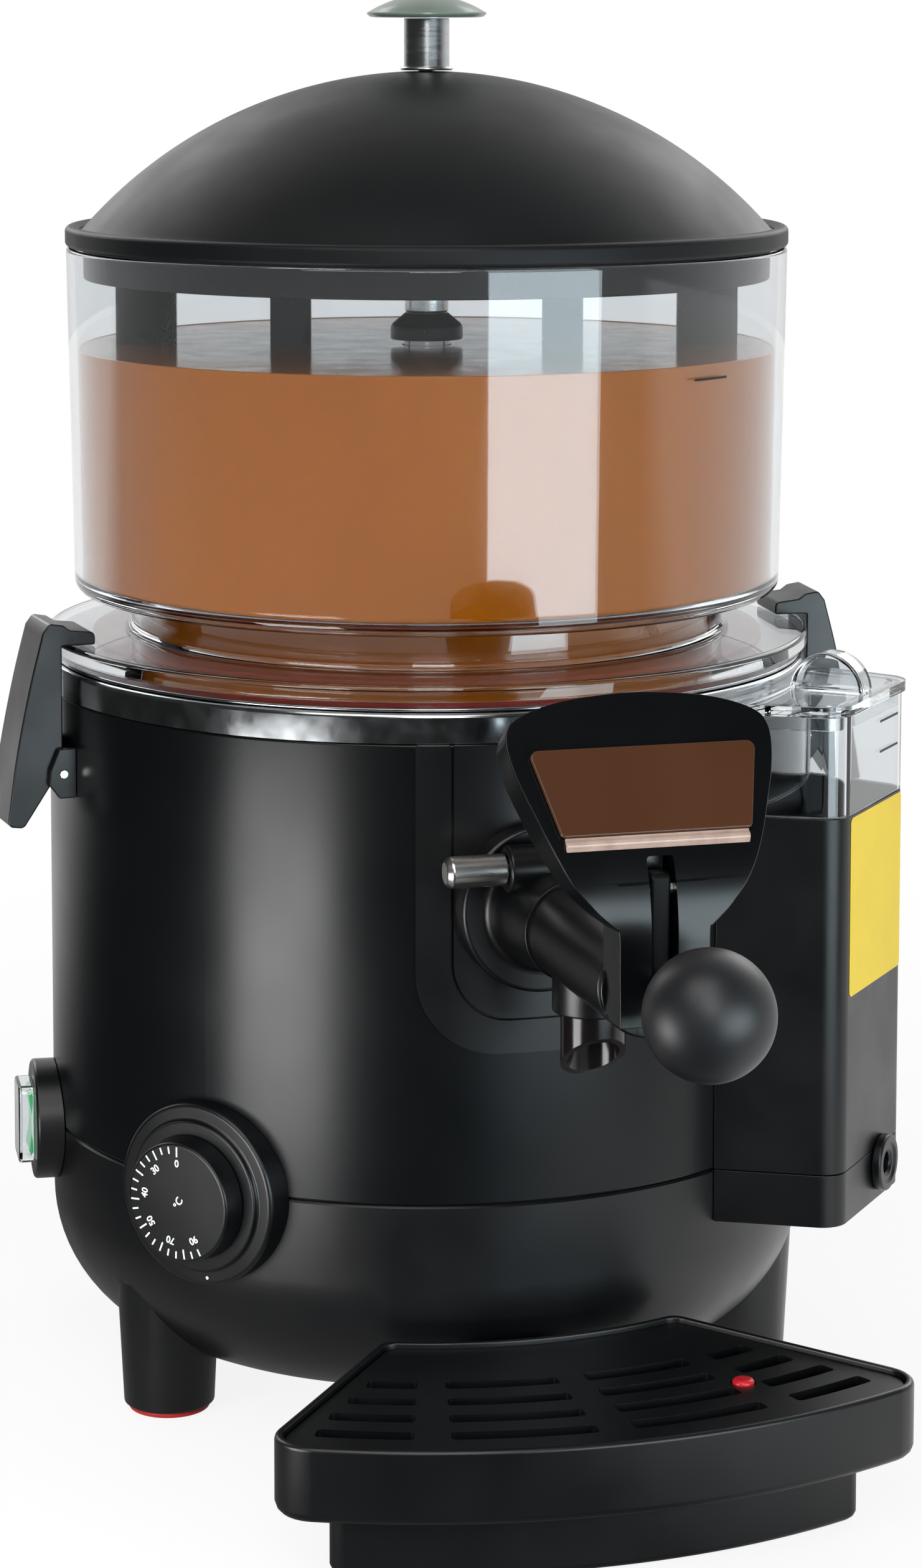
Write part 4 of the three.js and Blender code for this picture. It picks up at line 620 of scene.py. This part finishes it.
def tap():
    band = rounded([
        (-39, 138, 26), (39, 138, 26), (39, 238, 0.6), (27.8, 238, 0.6), (27.8, 148.7, 18.5), (-27.8, 148.7, 18.5),
        (-27.8, 238, 0.6), (-39, 238, 0.6)], 10)
    surround = softened(wrapped("tap_band", band, CLEAR, 1.3), 0.5, 3, 40)
    clip = softened(wrapped("tap_band_clip", oblong(12.5, 139.6, 15.6, 148, 0.6, 3), 132.5, 0.6), 0.2, 2, 40)
    dress(clip, "casing", moulded_abs, "black_moulding")
    dress(surround, "casing", moulded_abs, "black_moulding", "tap_surround")
    plate = softened(wrapped("tap_plate", rounded([
        (-27, 149.5, 18), (27, 149.5, 18), (27, 238, 0.6), (-27, 238, 0.6)], 10), CLEAR, 1.3), 0.5, 3, 40)
    cut(plate, rod(9.3, 120, 140, TAP))
    dress(plate, "casing", moulded_abs, "black_moulding", "tap_panel")

    barrel = turned("tap_barrel", rounded([
        (0, 126), (27, 126), (27, 140, 1.6), (18.6, 140, 3), (15, 168, 0.6), (16, 168.2, 0.4), (16, 171, 0.4),
        (15, 171.2), (15, 240.1, 1.2), (0, 240.1)], 5), TAP, 96)
    cut(barrel, rod(132.9, 100, 300, count=192))
    weld(barrel,
         turned("boss", rounded([(0, -16), (7.5, -16, 1), (7.5, 16, 1), (0, 16)], 4), TAP_PIN, 64),
         turned("socket", rounded([(0, 166), (12.6, 166, 0.8), (12.6, 190), (0, 190)], 3), SPOUT, 80))
    cut(barrel,
        turned("tool", [(0, 120), (9.3, 120), (9.3, 150.3), (6, 150.3), (6, 154.3), (12, 154.3), (12, 250), (0, 250)],
               TAP, 64),
        rod(10.3, 160, 186, SPOUT, 64), rod(3.3, -25, 11.3, TAP_PIN))
    dress(barrel, "casing", moulded_abs, "black_moulding", "tap_body", crisp=40)

    pin = turned("pull_pin", rounded([
        (0, -35.8), (3.6, -35.8, 1.2), (5, -34, 1.6), (5, -16.3, 0.5), (3, -16.3), (3, 10.7, 0.5), (0, 10.7)], 5),
        TAP_PIN, 64)
    dress(pin, "pin", chromed_steel, "chrome", "tap_pin")

    spout = turned("spout_tube", rounded([
        (8, 143.5, 0.4), (10, 143.5, 0.4), (10, 173.7, 0.3), (8, 173.7, 0.3)], 3), SPOUT, 96)
    cut(spout, prism("tool", [(175, 130), (205, 130), (205, 163.5), (175, 139.5)], -15, 15, beside(0)))
    softened(spout, 0.5, 3, 40)
    dress(spout, "casing", smoked_polycarbonate, "smoked", "tap_spout", crisp=40)

    head = on_face(softened(prism("tap_head_shield", head_outline(), -11, 0), 2.2, 5, 50))
    cut(head, on_face(softened(prism("tool", head_outline(3, 8), -16, -3), 1.5, 3, 50)))
    block = softened(prism("block", [
        (22, 218), (-22, 218), (-13.57, 209), (-13.57, 179.5), (-12.4, 178), (12.4, 178), (13.57, 179.5),
        (13.57, 209)], 240.4, 250.5, facing(0)), 0.8, 2, 40)
    brow = prism("brow", [(240.5, 212), (250, 212), (254.6, 219.6), (250.2, 226), (240.5, 226)], -13.6, 13.6, beside(0))
    cap = softened(rod(15, 240.4, 243.6, TAP, 96), 0.8, 3, 40)
    weld(head, block, brow, cap)
    cut(head, softened(prism("tool", oblong(243.6, 159, 262, 227), -4.1, 4.1, beside(0)), 1.0, 3),
        rod(2.8, 235, 262, TAP, 32), rod(2.15, -13.3, 40, LEVER_PIVOT, 32))
    dress(head, "casing", polished_abs, "black_moulding", "tap_head", crisp=32)

    blade = softened(prism("lever_blade", oblong(245.2, 183.5, 253, 222, 2, 4), -3.2, 3.2, beside(0)), 1.2, 3)
    cut(blade, rod(2.15, -8, 8, LEVER_PIVOT, 32))
    dress(blade, "lever", black_acetal, "black_moulding", "tap_lever", crisp=40)
    stick = turned("lever_stick", rounded([
        (0, 252.4), (3.2, 252.4), (3.2, 257.8), (5, 258.6, 0.4), (5, 283.7), (0, 283.7)], 2), facing(0, 189.5), 48)
    dress(stick, "lever", moulded_abs, "black_moulding", crisp=40)
    radius, centre = 19, 295
    sphere = arc((0, centre), radius, -90, 90, 45)
    sphere[0], sphere[-1] = (0, centre - radius), (0, centre + radius)
    ball = turned("lever_ball_finished", sphere, facing(0, 190.8), 96)
    cut(ball, rod(5.3, 270, 284, facing(0, 189.5), 48))
    dress(ball, "lever", satin_phenolic, "black_moulding", "lever_ball", crisp=50)


def badge():
    outline = rounded([(-29, 15.6, 1.5), (29, 15.6, 1.5), (35, 42.7, 2.5), (-35, 42.7, 2.5)], 5)
    plate = on_face(softened(prism("badge_plate", outline, 0.3, 1.7), 0.5, 3, 40))
    dress(plate, "casing", printed_acrylic, "badge_brown", "badge")
    roll = [(11.2, 0.3), (15.5, 0.3), (15.5, 1.1), *arc((13.4, 0.2), 1.5, 35, 150, 8)]
    seat = Matrix(((0, 0, 1, 0), (1, 0, 0, 0), (0, 1, 0, 0), (0, 0, 0, 1)))
    lip = on_face(softened(prism("badge_lip", roll, -28, 28, seat), 0.3, 2, 40))
    # The lip's light colour is a painted highlight
    dress(lip, "casing", badge_lip_painted_highlight, "badge_brown", crisp=50)


# Latches

def latches():
    back = smooth_line([(153, 199), (149.9, 221), (145.2, 244), (140.6, 262)], 5)
    outline = rounded([
        (122.5, 257.3, 0.8), (134, 257.3, 0.6), (134, 220.3, 3), (131.6, 217.4, 1.4), (131.6, 211.6, 1.4),
        (137.4, 211.6, 3), (147.6, 196.3, 2.2), (152.2, 196.9, 1.6), *back, (138.2, 265.2, 1.5), (133.5, 264.4),
        (131, 262.6), (122.5, 261.6, 2.0)], 5)
    bracket = rounded([(126, 206.2), (136, 206.2, 1), (139.5, 211, 2), (139, 216, 2), (136, 223, 1), (126, 223)], 3)
    middle, half = 13.55, 1.25
    for side, angle in (("left", -85.5), ("right", 85.5)):
        seat, pivot = beside(angle), crosswise(134.5, 214.5, angle)
        hook = softened(prism(f"latch_handle_{side}", outline, -12, 12, seat), 1.8, 4, 35)
        cut(hook, rod(1.55, -14, 14, pivot, 24))
        dress(hook, f"{side}_latch", moulded_abs, "black_moulding", f"latch_{side}", crisp=40)
        ears = softened(prism(f"latch_ears_{side}", bracket, -middle - half, -middle + half, seat), 0.5, 2)
        weld(ears, softened(prism("ear", bracket, middle - half, middle + half, seat), 0.5, 2),
             prism("bridge", oblong(126, 206.3, 133.6, 210.5), -13.5, 13.5, seat))
        cut(ears, rod(CLEAR, 195, 235, count=192), rod(1.55, -20, 20, pivot, 24))
        dress(ears, "casing", moulded_abs, "black_moulding", f"latch_bracket_{side}", crisp=40)


# Dial and switch

def dial():
    ring = turned("dial_surround", rounded([
        (3.3, 126), (30, 126), (30, 137.5, 1.6), (24.9, 137.5, 0.8), (24.5, 139.3, 0.7), (3.3, 139.3)], 5), DIAL, 128)
    cut(ring, rod(CLEAR, 0, 200, count=256))
    dress(ring, "casing", moulded_abs, "black_moulding", "dial_ring")
    knob = turned("dial_grip", rounded([
        (0, 118), (3, 118), (3, 139.6), (20.5, 139.6, 0.6), (19.5, 147.6, 1.1), (0, 147.6)], 5), DIAL, 128)
    dress(knob, "dial", moulded_abs, "black_moulding", "dial_knob")

    # The scale printed on the knob's face
    face, rim, count = 147.55, 18.4, 21

    def scale_seat(mark):
        return DIAL @ spin(90 + 210 * mark / (count - 1))

    marks = bmesh.new()
    for k in range(count):
        length = 3.2 if k % 3 == 0 else 2.3
        corners = oblong(rim - length, -0.26, rim, 0.26)
        low, high = ([marks.verts.new(scale_seat(k) @ Vector((x, y, height))) for x, y in corners]
                     for height in (face, face + 0.13))
        marks.faces.new(low)
        marks.faces.new(high)
        for i in range(4):
            marks.faces.new((low[i], low[(i + 1) % 4], high[(i + 1) % 4], high[i]))
    dress(linked("dial_ticks", marks), "dial", white_ink, "black_moulding")
    for k, words in ((0, "0"), (4, "30"), (8, "40"), (12, "50"), (16, "70"), (20, "90")):
        lettering(f"dial_number_{words}", words, 3.3, scale_seat(k) @ Matrix.Translation((12.9, 0, face)) @ spin(-90))
    lettering("dial_unit", "°C", 3.6, DIAL @ Matrix.Translation((0.6, 0, face)) @ spin(65))
    dot = turned("dial_index", oblong(0, 137.4, 0.55, 137.6), DIAL @ Matrix.Translation((4.5, -26.8, 0)), 24)
    dress(dot, "casing", white_ink, "black_moulding")


def lettering(name, words, size, seat):
    """Numbers and a unit in white ink, standing a little proud of the knob."""
    thick = 0.06
    curve = bpy.data.curves.new(name, "FONT")
    curve.body = words
    curve.size = size
    curve.align_x = "CENTER"
    curve.align_y = "CENTER"
    curve.extrude = thick
    curve.offset = 0.05
    text = placed(name, curve)
    graph = bpy.context.evaluated_depsgraph_get()
    mesh = bpy.data.meshes.new_from_object(text.evaluated_get(graph))
    bpy.data.objects.remove(text)
    mesh.transform(Matrix.Translation((0, 0, thick)))
    mesh.transform(seat)
    dress(placed(name, mesh), "dial", white_ink, "black_moulding")


def centred(width, height, radius):
    return oblong(-width / 2, -height / 2, width / 2, height / 2, radius)


def switch():
    bezel = turned("switch_surround", rounded([
        (0, 110), (14, 110), (14, 128), (20.5, 128), (20.5, 139, 1.2), (0, 139)], 5), SWITCH, 96)
    cut(bezel, rod(CLEAR, 0, 200, count=256))
    weld(bezel, rod(14, 108, 134, SWITCH, 64))
    cut(bezel, prism("tool", centred(14.8, 23.2, 0.5), 124, 144, SWITCH))
    dress(bezel, "casing", moulded_abs, "black_moulding", "switch_bezel", crisp=40)
    outline = [(126, -5.5), (139, -11), (140.8, -10.1), *arc((176.8, 0), 37, 195.5, 164.5, 8)[1:-1], (140.8, 10.1),
               (139, 11), (126, 5.5)]
    # Drawn as (outward, upward), where the seat has (across, upward)
    swapped = Matrix(((0, 0, 1, 0), (0, 1, 0, 0), (1, 0, 0, 0), (0, 0, 0, 1)))
    rocker = softened(prism("switch_paddle", outline, -6.8, 6.8, SWITCH @ swapped), 0.4, 3, 40)
    dress(rocker, "switch", green_polycarbonate, "green_rocker", "switch_rocker", crisp=40)
    cover = softened(prism("switch_hood", centred(19, 27, 3), 139.3, 144.4, SWITCH), 0.8, 3, 40)
    cut(cover, prism("tool", centred(16.6, 24.6, 2), 135, 143.2, SWITCH))
    dress(cover, "casing", clear_polycarbonate, "clear", "switch_cover", crisp=40)


# Side tank

# The front wall's reach and half its width, how the sides spread behind it, its corners and the wall's thickness
TANK_FRONT, TANK_HALF = 165, 31.5
TANK_SPREAD = math.radians(13.5)
TANK_CORNER, TANK_WALL = 9, 2.5


def tank_outline(inset):
    outer, back = TANK_FRONT - inset, 110

    def half(reach):
        return TANK_HALF + (TANK_FRONT - reach) * math.tan(TANK_SPREAD) - inset / math.cos(TANK_SPREAD)

    radius = max(TANK_CORNER - inset, 0.8)
    return rounded([
        (-half(outer), -outer, radius), (half(outer), -outer, radius), (half(back), -back), (-half(back), -back)], 8)


def tank_sleeve(name, low, high, inset=0.0, behind=CLEAR):
    made = prism(name, tank_outline(inset), low, high, spin(TANK_ANGLE))
    return cut(made, rod(behind, low - 5, high + 5, count=256))


def tank_tube(name, low, high):
    return cut(tank_sleeve(name, low, high), tank_sleeve("tool", low - 5, high + 5, TANK_WALL, CLEAR + TANK_WALL))


def tank():
    seat, side_on = facing(TANK_ANGLE), beside(TANK_ANGLE)
    housing = softened(tank_tube("tank_casing", 88.3, 207), 0.4, 2, 50)
    cut(housing, rod(5.3, 128, 145, TANK_FEED))
    dress(housing, "casing", moulded_abs, "black_moulding", "tank_housing", crisp=40)
    foot = softened(tank_sleeve("tank_foot", 70.5, 88), 1.6, 4, 50)
    cut(foot, tank_sleeve("tool", 73.5, 95, TANK_WALL, CLEAR + TANK_WALL), rod(4.8, 155, 170, DRAIN))
    dress(foot, "casing", moulded_abs, "black_moulding", "tank_base", crisp=40)
    window = softened(tank_tube("tank_clear_wall", 207.3, 240.5), 0.4, 2, 50)
    dress(window, "casing", clear_polycarbonate, "clear", "tank_window", crisp=40)

    sheet = softened(cut(prism("tank_cover", tank_outline(-1.3), 240.8, 244.3, spin(TANK_ANGLE)),
                         rod(132.6, 230, 250, count=256)), 0.9, 4, 50)
    lip = cut(tank_sleeve("lip", 235.8, 241.2, 3.1, 134.4), tank_sleeve("tool", 230, 240.8, 4.7, 136))
    middle = (149, 244)
    grip = softened(prism("grip", arc(middle, 13, 0, 180, 28), -5, 5, side_on), 1.4, 4, 40)
    weld(sheet, lip, grip)
    hollow = [(160.2, 236), *arc(middle, 11.2, 0, 180, 24), (137.8, 236)]
    cut(sheet, prism("tool", hollow, -3.2, 3.2, side_on))
    dress(sheet, "tank_cover", clear_polycarbonate, "clear", "tank_lid", crisp=40)

    plug = turned("drain_screw", rounded([
        (0, 156.3), (4.5, 156.3), (4.5, 165.3), (9.5, 165.3, 0.5), (9.5, 168.5, 0.9), (7, 168.5, 0.4),
        (6.4, 167.9, 0.2), (4.6, 167.9, 0.3), (3.6, 167, 0.3), (3.6, 163.5), (0, 163.5)], 4), DRAIN, 80)
    dress(plug, "drain", moulded_abs, "black_moulding", "drain_plug", crisp=40)

    proud = TANK_FRONT + 0.02
    label = softened(prism("tank_label", oblong(-24, 146.5, 26, 206.3, 2), proud, proud + 0.2, seat), 0.05, 1)
    dress(label, "casing", yellow_vinyl, "badge_brown")
    for number, height in enumerate((233.4, 223.2), 1):
        line = prism(f"tank_level_line_{number}", oblong(4, height, 22, height + 0.8), proud, proud + 0.08, seat)
        dress(line, "casing", black_ink, "matte_black")


# Drip tray

# The radii of the front and back edges, half the front's width, and how far the sides splay
TRAY_FRONT, TRAY_BACK, TRAY_HALF = 231, 134, 109
SPLAY_ANGLE = math.radians(37)
SPLAY = math.tan(SPLAY_ANGLE)


def side_meets(radius, inset):
    """Where the splayed side, moved in by an inset, meets a circle round the axis."""
    start = TRAY_HALF - inset / math.cos(SPLAY_ANGLE) - SPLAY * math.sqrt(TRAY_FRONT ** 2 - TRAY_HALF ** 2)
    square = 1 + SPLAY ** 2
    reach = (-start * SPLAY + math.sqrt((start * SPLAY) ** 2 - square * (start ** 2 - radius ** 2))) / square
    return start + SPLAY * reach, reach


def side_bearing(radius, inset):
    half, reach = side_meets(radius, inset)
    return math.degrees(math.atan2(half, reach))


def fan_outline(inset):
    front, back = TRAY_FRONT - inset, TRAY_BACK + inset
    wide, narrow = side_bearing(front, inset), side_bearing(back, inset)
    line = []
    for radius, start, end, corner in (
            (front, -90 - wide, -90 + wide, max(13 - inset, 5)), (back, -90 + narrow, -90 - narrow, 5)):
        first, last = arc((0, 0), radius, start, end, 1)
        clear = math.copysign(math.degrees(1.3 * corner / radius), end - start)
        line += [(*first, corner), *arc((0, 0), radius, start + clear, end - clear, 24), (*last, corner)]
    return rounded(line, 8)


def drain_slot(inner, outer, start, end):
    """Between two arcs round the axis, at angles from straight ahead, with rounded corners."""
    far = arc((0, 0), outer, start - 90, end - 90, 8)
    near = arc((0, 0), inner, end - 90, start - 90, 8)
    return rounded([
        (*far[0], 1.4), *far[1:-1], (*far[-1], 1.4), (*near[0], 1.4), *near[1:-1], (*near[-1], 1.4)], 4)


def fan_stack(name, layers):
    """The fan's outline at each (inset, height), skinned one to the next and closed at both ends."""
    shape = bmesh.new()
    rings = [[shape.verts.new((x, y, height)) for x, y in fan_outline(inset)] for inset, height in layers]
    shape.faces.new(rings[0])
    shape.faces.new(rings[-1])
    for low, high in zip(rings, rings[1:]):
        for k in range(len(low)):
            after = (k + 1) % len(low)
            shape.faces.new((low[k], low[after], high[after], high[k]))
    return linked(name, shape)


def tray():
    band = fan_stack("tray_body", [
        (16.4, 0), (15.2, 0.3), (14.4, 1.1), (14, 2.4), (14, 20.6), (13.6, 21), (3.4, 21), (1.8, 21.5), (0.6, 22.7),
        (0, 24.4), (0, 43.4), (0.3, 44.2), (0.9, 44.7), (1.6, 44.8), (2.3, 44.6), (2.6, 44.1), (2.6, 40), (5.6, 40),
        (5.6, 24.4), (16.2, 24), (16.6, 23.6), (16.6, 3)])
    tongue = softened(prism("tongue", oblong(-20, -149.6, 20, -74), 10.2, 14.2), 0.6, 2)
    weld(band, tongue)
    dress(band, "tray", moulded_abs, "black_moulding", "drip_tray", crisp=40)

    sheet = softened(prism("grate_sheet", fan_outline(2.9), 40.3, 43.1), 0.8, 3, 50)
    tools = []
    # The first row's radius, the rows' pitch, half a slot's width and the margin left at the sides
    first, pitch, half, margin = 170, 14.5, 3.25, 9.1
    for row in range(4):
        middle = first + row * pitch
        edge = min(24.5, side_bearing(middle, margin))
        for start, end in ((1.5, 13.5), (16.5, edge)):
            if end - start > 1.5:
                tools += [prism("tool", drain_slot(middle - half, middle + half, a, b), 35, 48)
                          for a, b in ((start, end), (-end, -start))]
    tools.append(rod(4, 35, 48, FLOAT, 32))
    cut(sheet, *tools)
    softened(sheet, 0.5, 2, 50)
    dress(sheet, "grate", moulded_abs, "black_moulding", "drip_grate", crisp=40)

    button = turned("float_button", rounded([
        (0, 3.3), (8, 3.3, 0.8), (8, 10.3, 0.8), (3.5, 10.3, 0.5), (3.5, 44.6, 1.4), (0, 44.6)], 5), FLOAT, 48)
    dress(button, "float", red_acetal, "red_float", "level_float", crisp=40)


# Studio

def ray_kinds(tree):
    """What the camera sees straight or through clear walls, and what shows only in a reflection."""
    path = add(tree, "ShaderNodeLightPath", {})
    seen = add(tree, "ShaderNodeMath", {"operation": "MAXIMUM"}, {
        0: path.outputs["Is Camera Ray"], 1: path.outputs["Is Transmission Ray"]})
    return seen.outputs[0], path.outputs["Is Glossy Ray"]


def studio():
    scene = bpy.context.scene
    scene.view_settings.view_transform = "Standard"
    world = bpy.data.worlds.new("studio")
    scene.world = world
    world.use_nodes = True
    tree = world.node_tree
    tree.nodes.clear()
    seen, mirrored = ray_kinds(tree)
    # Mirrored, the room is pale behind the machine on the tank's side and dark elsewhere
    rear_right = (0.6, 0.8, 0.0)
    heading = add(tree, "ShaderNodeTexCoord", {})
    along = add(tree, "ShaderNodeVectorMath", {"operation": "DOT_PRODUCT", 1: rear_right},
                {0: heading.outputs["Generated"]})
    room = add(tree, "ShaderNodeMapRange", {"From Min": 0.1, "From Max": 0.7, "To Min": 0.04, "To Max": 0.8},
               {"Value": along.outputs["Value"]})
    shown = add(tree, "ShaderNodeMix", {"data_type": "FLOAT", 2: 0.22}, {0: mirrored, 3: room.outputs["Result"]})
    level = add(tree, "ShaderNodeMath", {"operation": "MAXIMUM"}, {0: seen, 1: shown.outputs[0]})
    sky = add(tree, "ShaderNodeBackground", {"Color": (1, 1, 1, 1)}, {"Strength": level.outputs[0]})
    add(tree, "ShaderNodeOutputWorld", {}, {"Surface": sky.outputs[0]})

    floor = turned("table_top", oblong(0, -0.5, 4000, -5), count=64)
    floor.data.transform(TO_FRAME)
    paint = bpy.data.materials.new("pale_table")
    paint.use_nodes = True
    tree = paint.node_tree
    shader = tree.nodes["Principled BSDF"]
    shader.inputs["Base Color"].default_value = linear("#f2f2f0")
    shader.inputs["Roughness"].default_value = 0.7
    seen, mirrored = ray_kinds(tree)
    where = add(tree, "ShaderNodeTexCoord", {})
    far = add(tree, "ShaderNodeVectorMath", {"operation": "LENGTH"}, {0: where.outputs["Object"]})
    share = add(tree, "ShaderNodeMapRange", {"From Min": 0.3, "From Max": 0.9, "To Min": 0.88, "To Max": 1.0},
                {"Value": far.outputs["Value"]})
    # In reflections the table shows painted light and shade: bright on the tank's side, towards the rear right and
    # close round the machine's foot, and painted shade on the other side, as beside a dark flag
    apart = add(tree, "ShaderNodeSeparateXYZ", {}, {0: where.outputs["Object"]})
    side = add(tree, "ShaderNodeMapRange", {"From Min": 0.0, "From Max": 0.14, "To Min": 0.02, "To Max": 1.0},
               {"Value": apart.outputs["X"]})
    ahead = add(tree, "ShaderNodeMapRange", {"From Min": -0.45, "From Max": -0.3, "To Min": 0.05, "To Max": 1.0},
                {"Value": apart.outputs["Y"]})
    near = add(tree, "ShaderNodeMath", {"operation": "MULTIPLY"}, {
        0: side.outputs["Result"], 1: ahead.outputs["Result"]})
    along = add(tree, "ShaderNodeVectorMath", {"operation": "DOT_PRODUCT", 1: rear_right},
                {0: where.outputs["Object"]})
    beyond = add(tree, "ShaderNodeMapRange", {"From Min": 0.1, "From Max": 0.5, "To Min": 0.02, "To Max": 1.0},
                 {"Value": along.outputs["Value"]})
    apart_from_axis = add(tree, "ShaderNodeVectorMath", {"operation": "DISTANCE", 1: (0.0, AXIS_Y, 0.0)},
                          {0: where.outputs["Object"]})
    # Painted pool of light on the table close round the machine's foot, seen only in reflections
    under = add(tree, "ShaderNodeMapRange", {"From Min": 0.14, "From Max": 0.38, "To Min": 0.28, "To Max": 0.02},
                {"Value": apart_from_axis.outputs["Value"]})
    outer = add(tree, "ShaderNodeMath", {"operation": "MAXIMUM"}, {0: near.outputs[0], 1: beyond.outputs["Result"]})
    bright = add(tree, "ShaderNodeMath", {"operation": "MAXIMUM"}, {0: outer.outputs[0], 1: under.outputs["Result"]})
    shown = add(tree, "ShaderNodeMath", {"operation": "MULTIPLY"}, {0: seen, 1: share.outputs["Result"]})
    covered = add(tree, "ShaderNodeMath", {"operation": "MAXIMUM"}, {0: shown.outputs[0], 1: mirrored})
    level = add(tree, "ShaderNodeMath", {"operation": "MAXIMUM"}, {0: seen, 1: bright.outputs[0]})
    lit = add(tree, "ShaderNodeEmission", {"Color": (1, 1, 1, 1)}, {"Strength": level.outputs[0]})
    mixed = add(tree, "ShaderNodeMixShader", {}, {
        0: covered.outputs[0], 1: shader.outputs["BSDF"], 2: lit.outputs["Emission"]})
    tree.links.new(mixed.outputs[0], tree.nodes["Material Output"].inputs["Surface"])
    floor.data.materials.append(paint)

    softbox("low_left_panel", -53, 0.44, 0.085, 0.2, 0.16, 9.5)
    softbox("right_card", 19.3, 0.8, 0.18, 0.492, 0.3, 6, (0.8, 0.94, 1.0))
    softbox("front_softbox", -30, 1.05, 1.43, 1.2, 1.0, 2.7)
    softbox("head_height_softbox", -13, 1.25, 0.72, 0.34, 0.34, 8)
    softbox("rear_right_softbox", 128.5, 1.5, 1.1, 1.0, 1.0, 2.6)
    softbox("rear_left_softbox", -159.5, 1.5, 1.1, 1.0, 1.0, 2.6)

    camera = placed("camera", bpy.data.cameras.new("camera"))
    turn, tilt, distance = math.radians(15.5), math.radians(6.055), 1.36
    camera.location = (-distance * math.sin(turn), AXIS_Y - distance * math.cos(turn), 0.4732)
    camera.rotation_euler = (math.pi / 2 - tilt, 0, -turn)
    camera.data.lens = 90.54
    camera.data.sensor_width = 36
    camera.data.shift_x = 0.0219
    camera.data.shift_y = -0.235
    scene.camera = camera


def softbox(name, azimuth, distance, height, width, tall, brightness, tint=(1, 1, 1)):
    """Azimuth 0 stands in front of the tap; brightness is the lamp face's own, where 1 is white."""
    lamp = bpy.data.lights.new(name, "AREA")
    lamp.shape = "RECTANGLE"
    lamp.size = width
    lamp.size_y = tall
    lamp.energy = brightness * math.pi * width * tall
    lamp.color = tint
    made = placed(name, lamp)
    turn = math.radians(azimuth)
    made.location = (distance * math.sin(turn), AXIS_Y - distance * math.cos(turn), height)
    aim = Vector((0, AXIS_Y, min(height, 0.3))) - made.location
    made.rotation_euler = aim.to_track_quat("-Z", "Y").to_euler()
    made.visible_camera = False


studio()
casing()
vessels()
mixer()
lid()
tap()
badge()
latches()
dial()
switch()
tank()
tray()
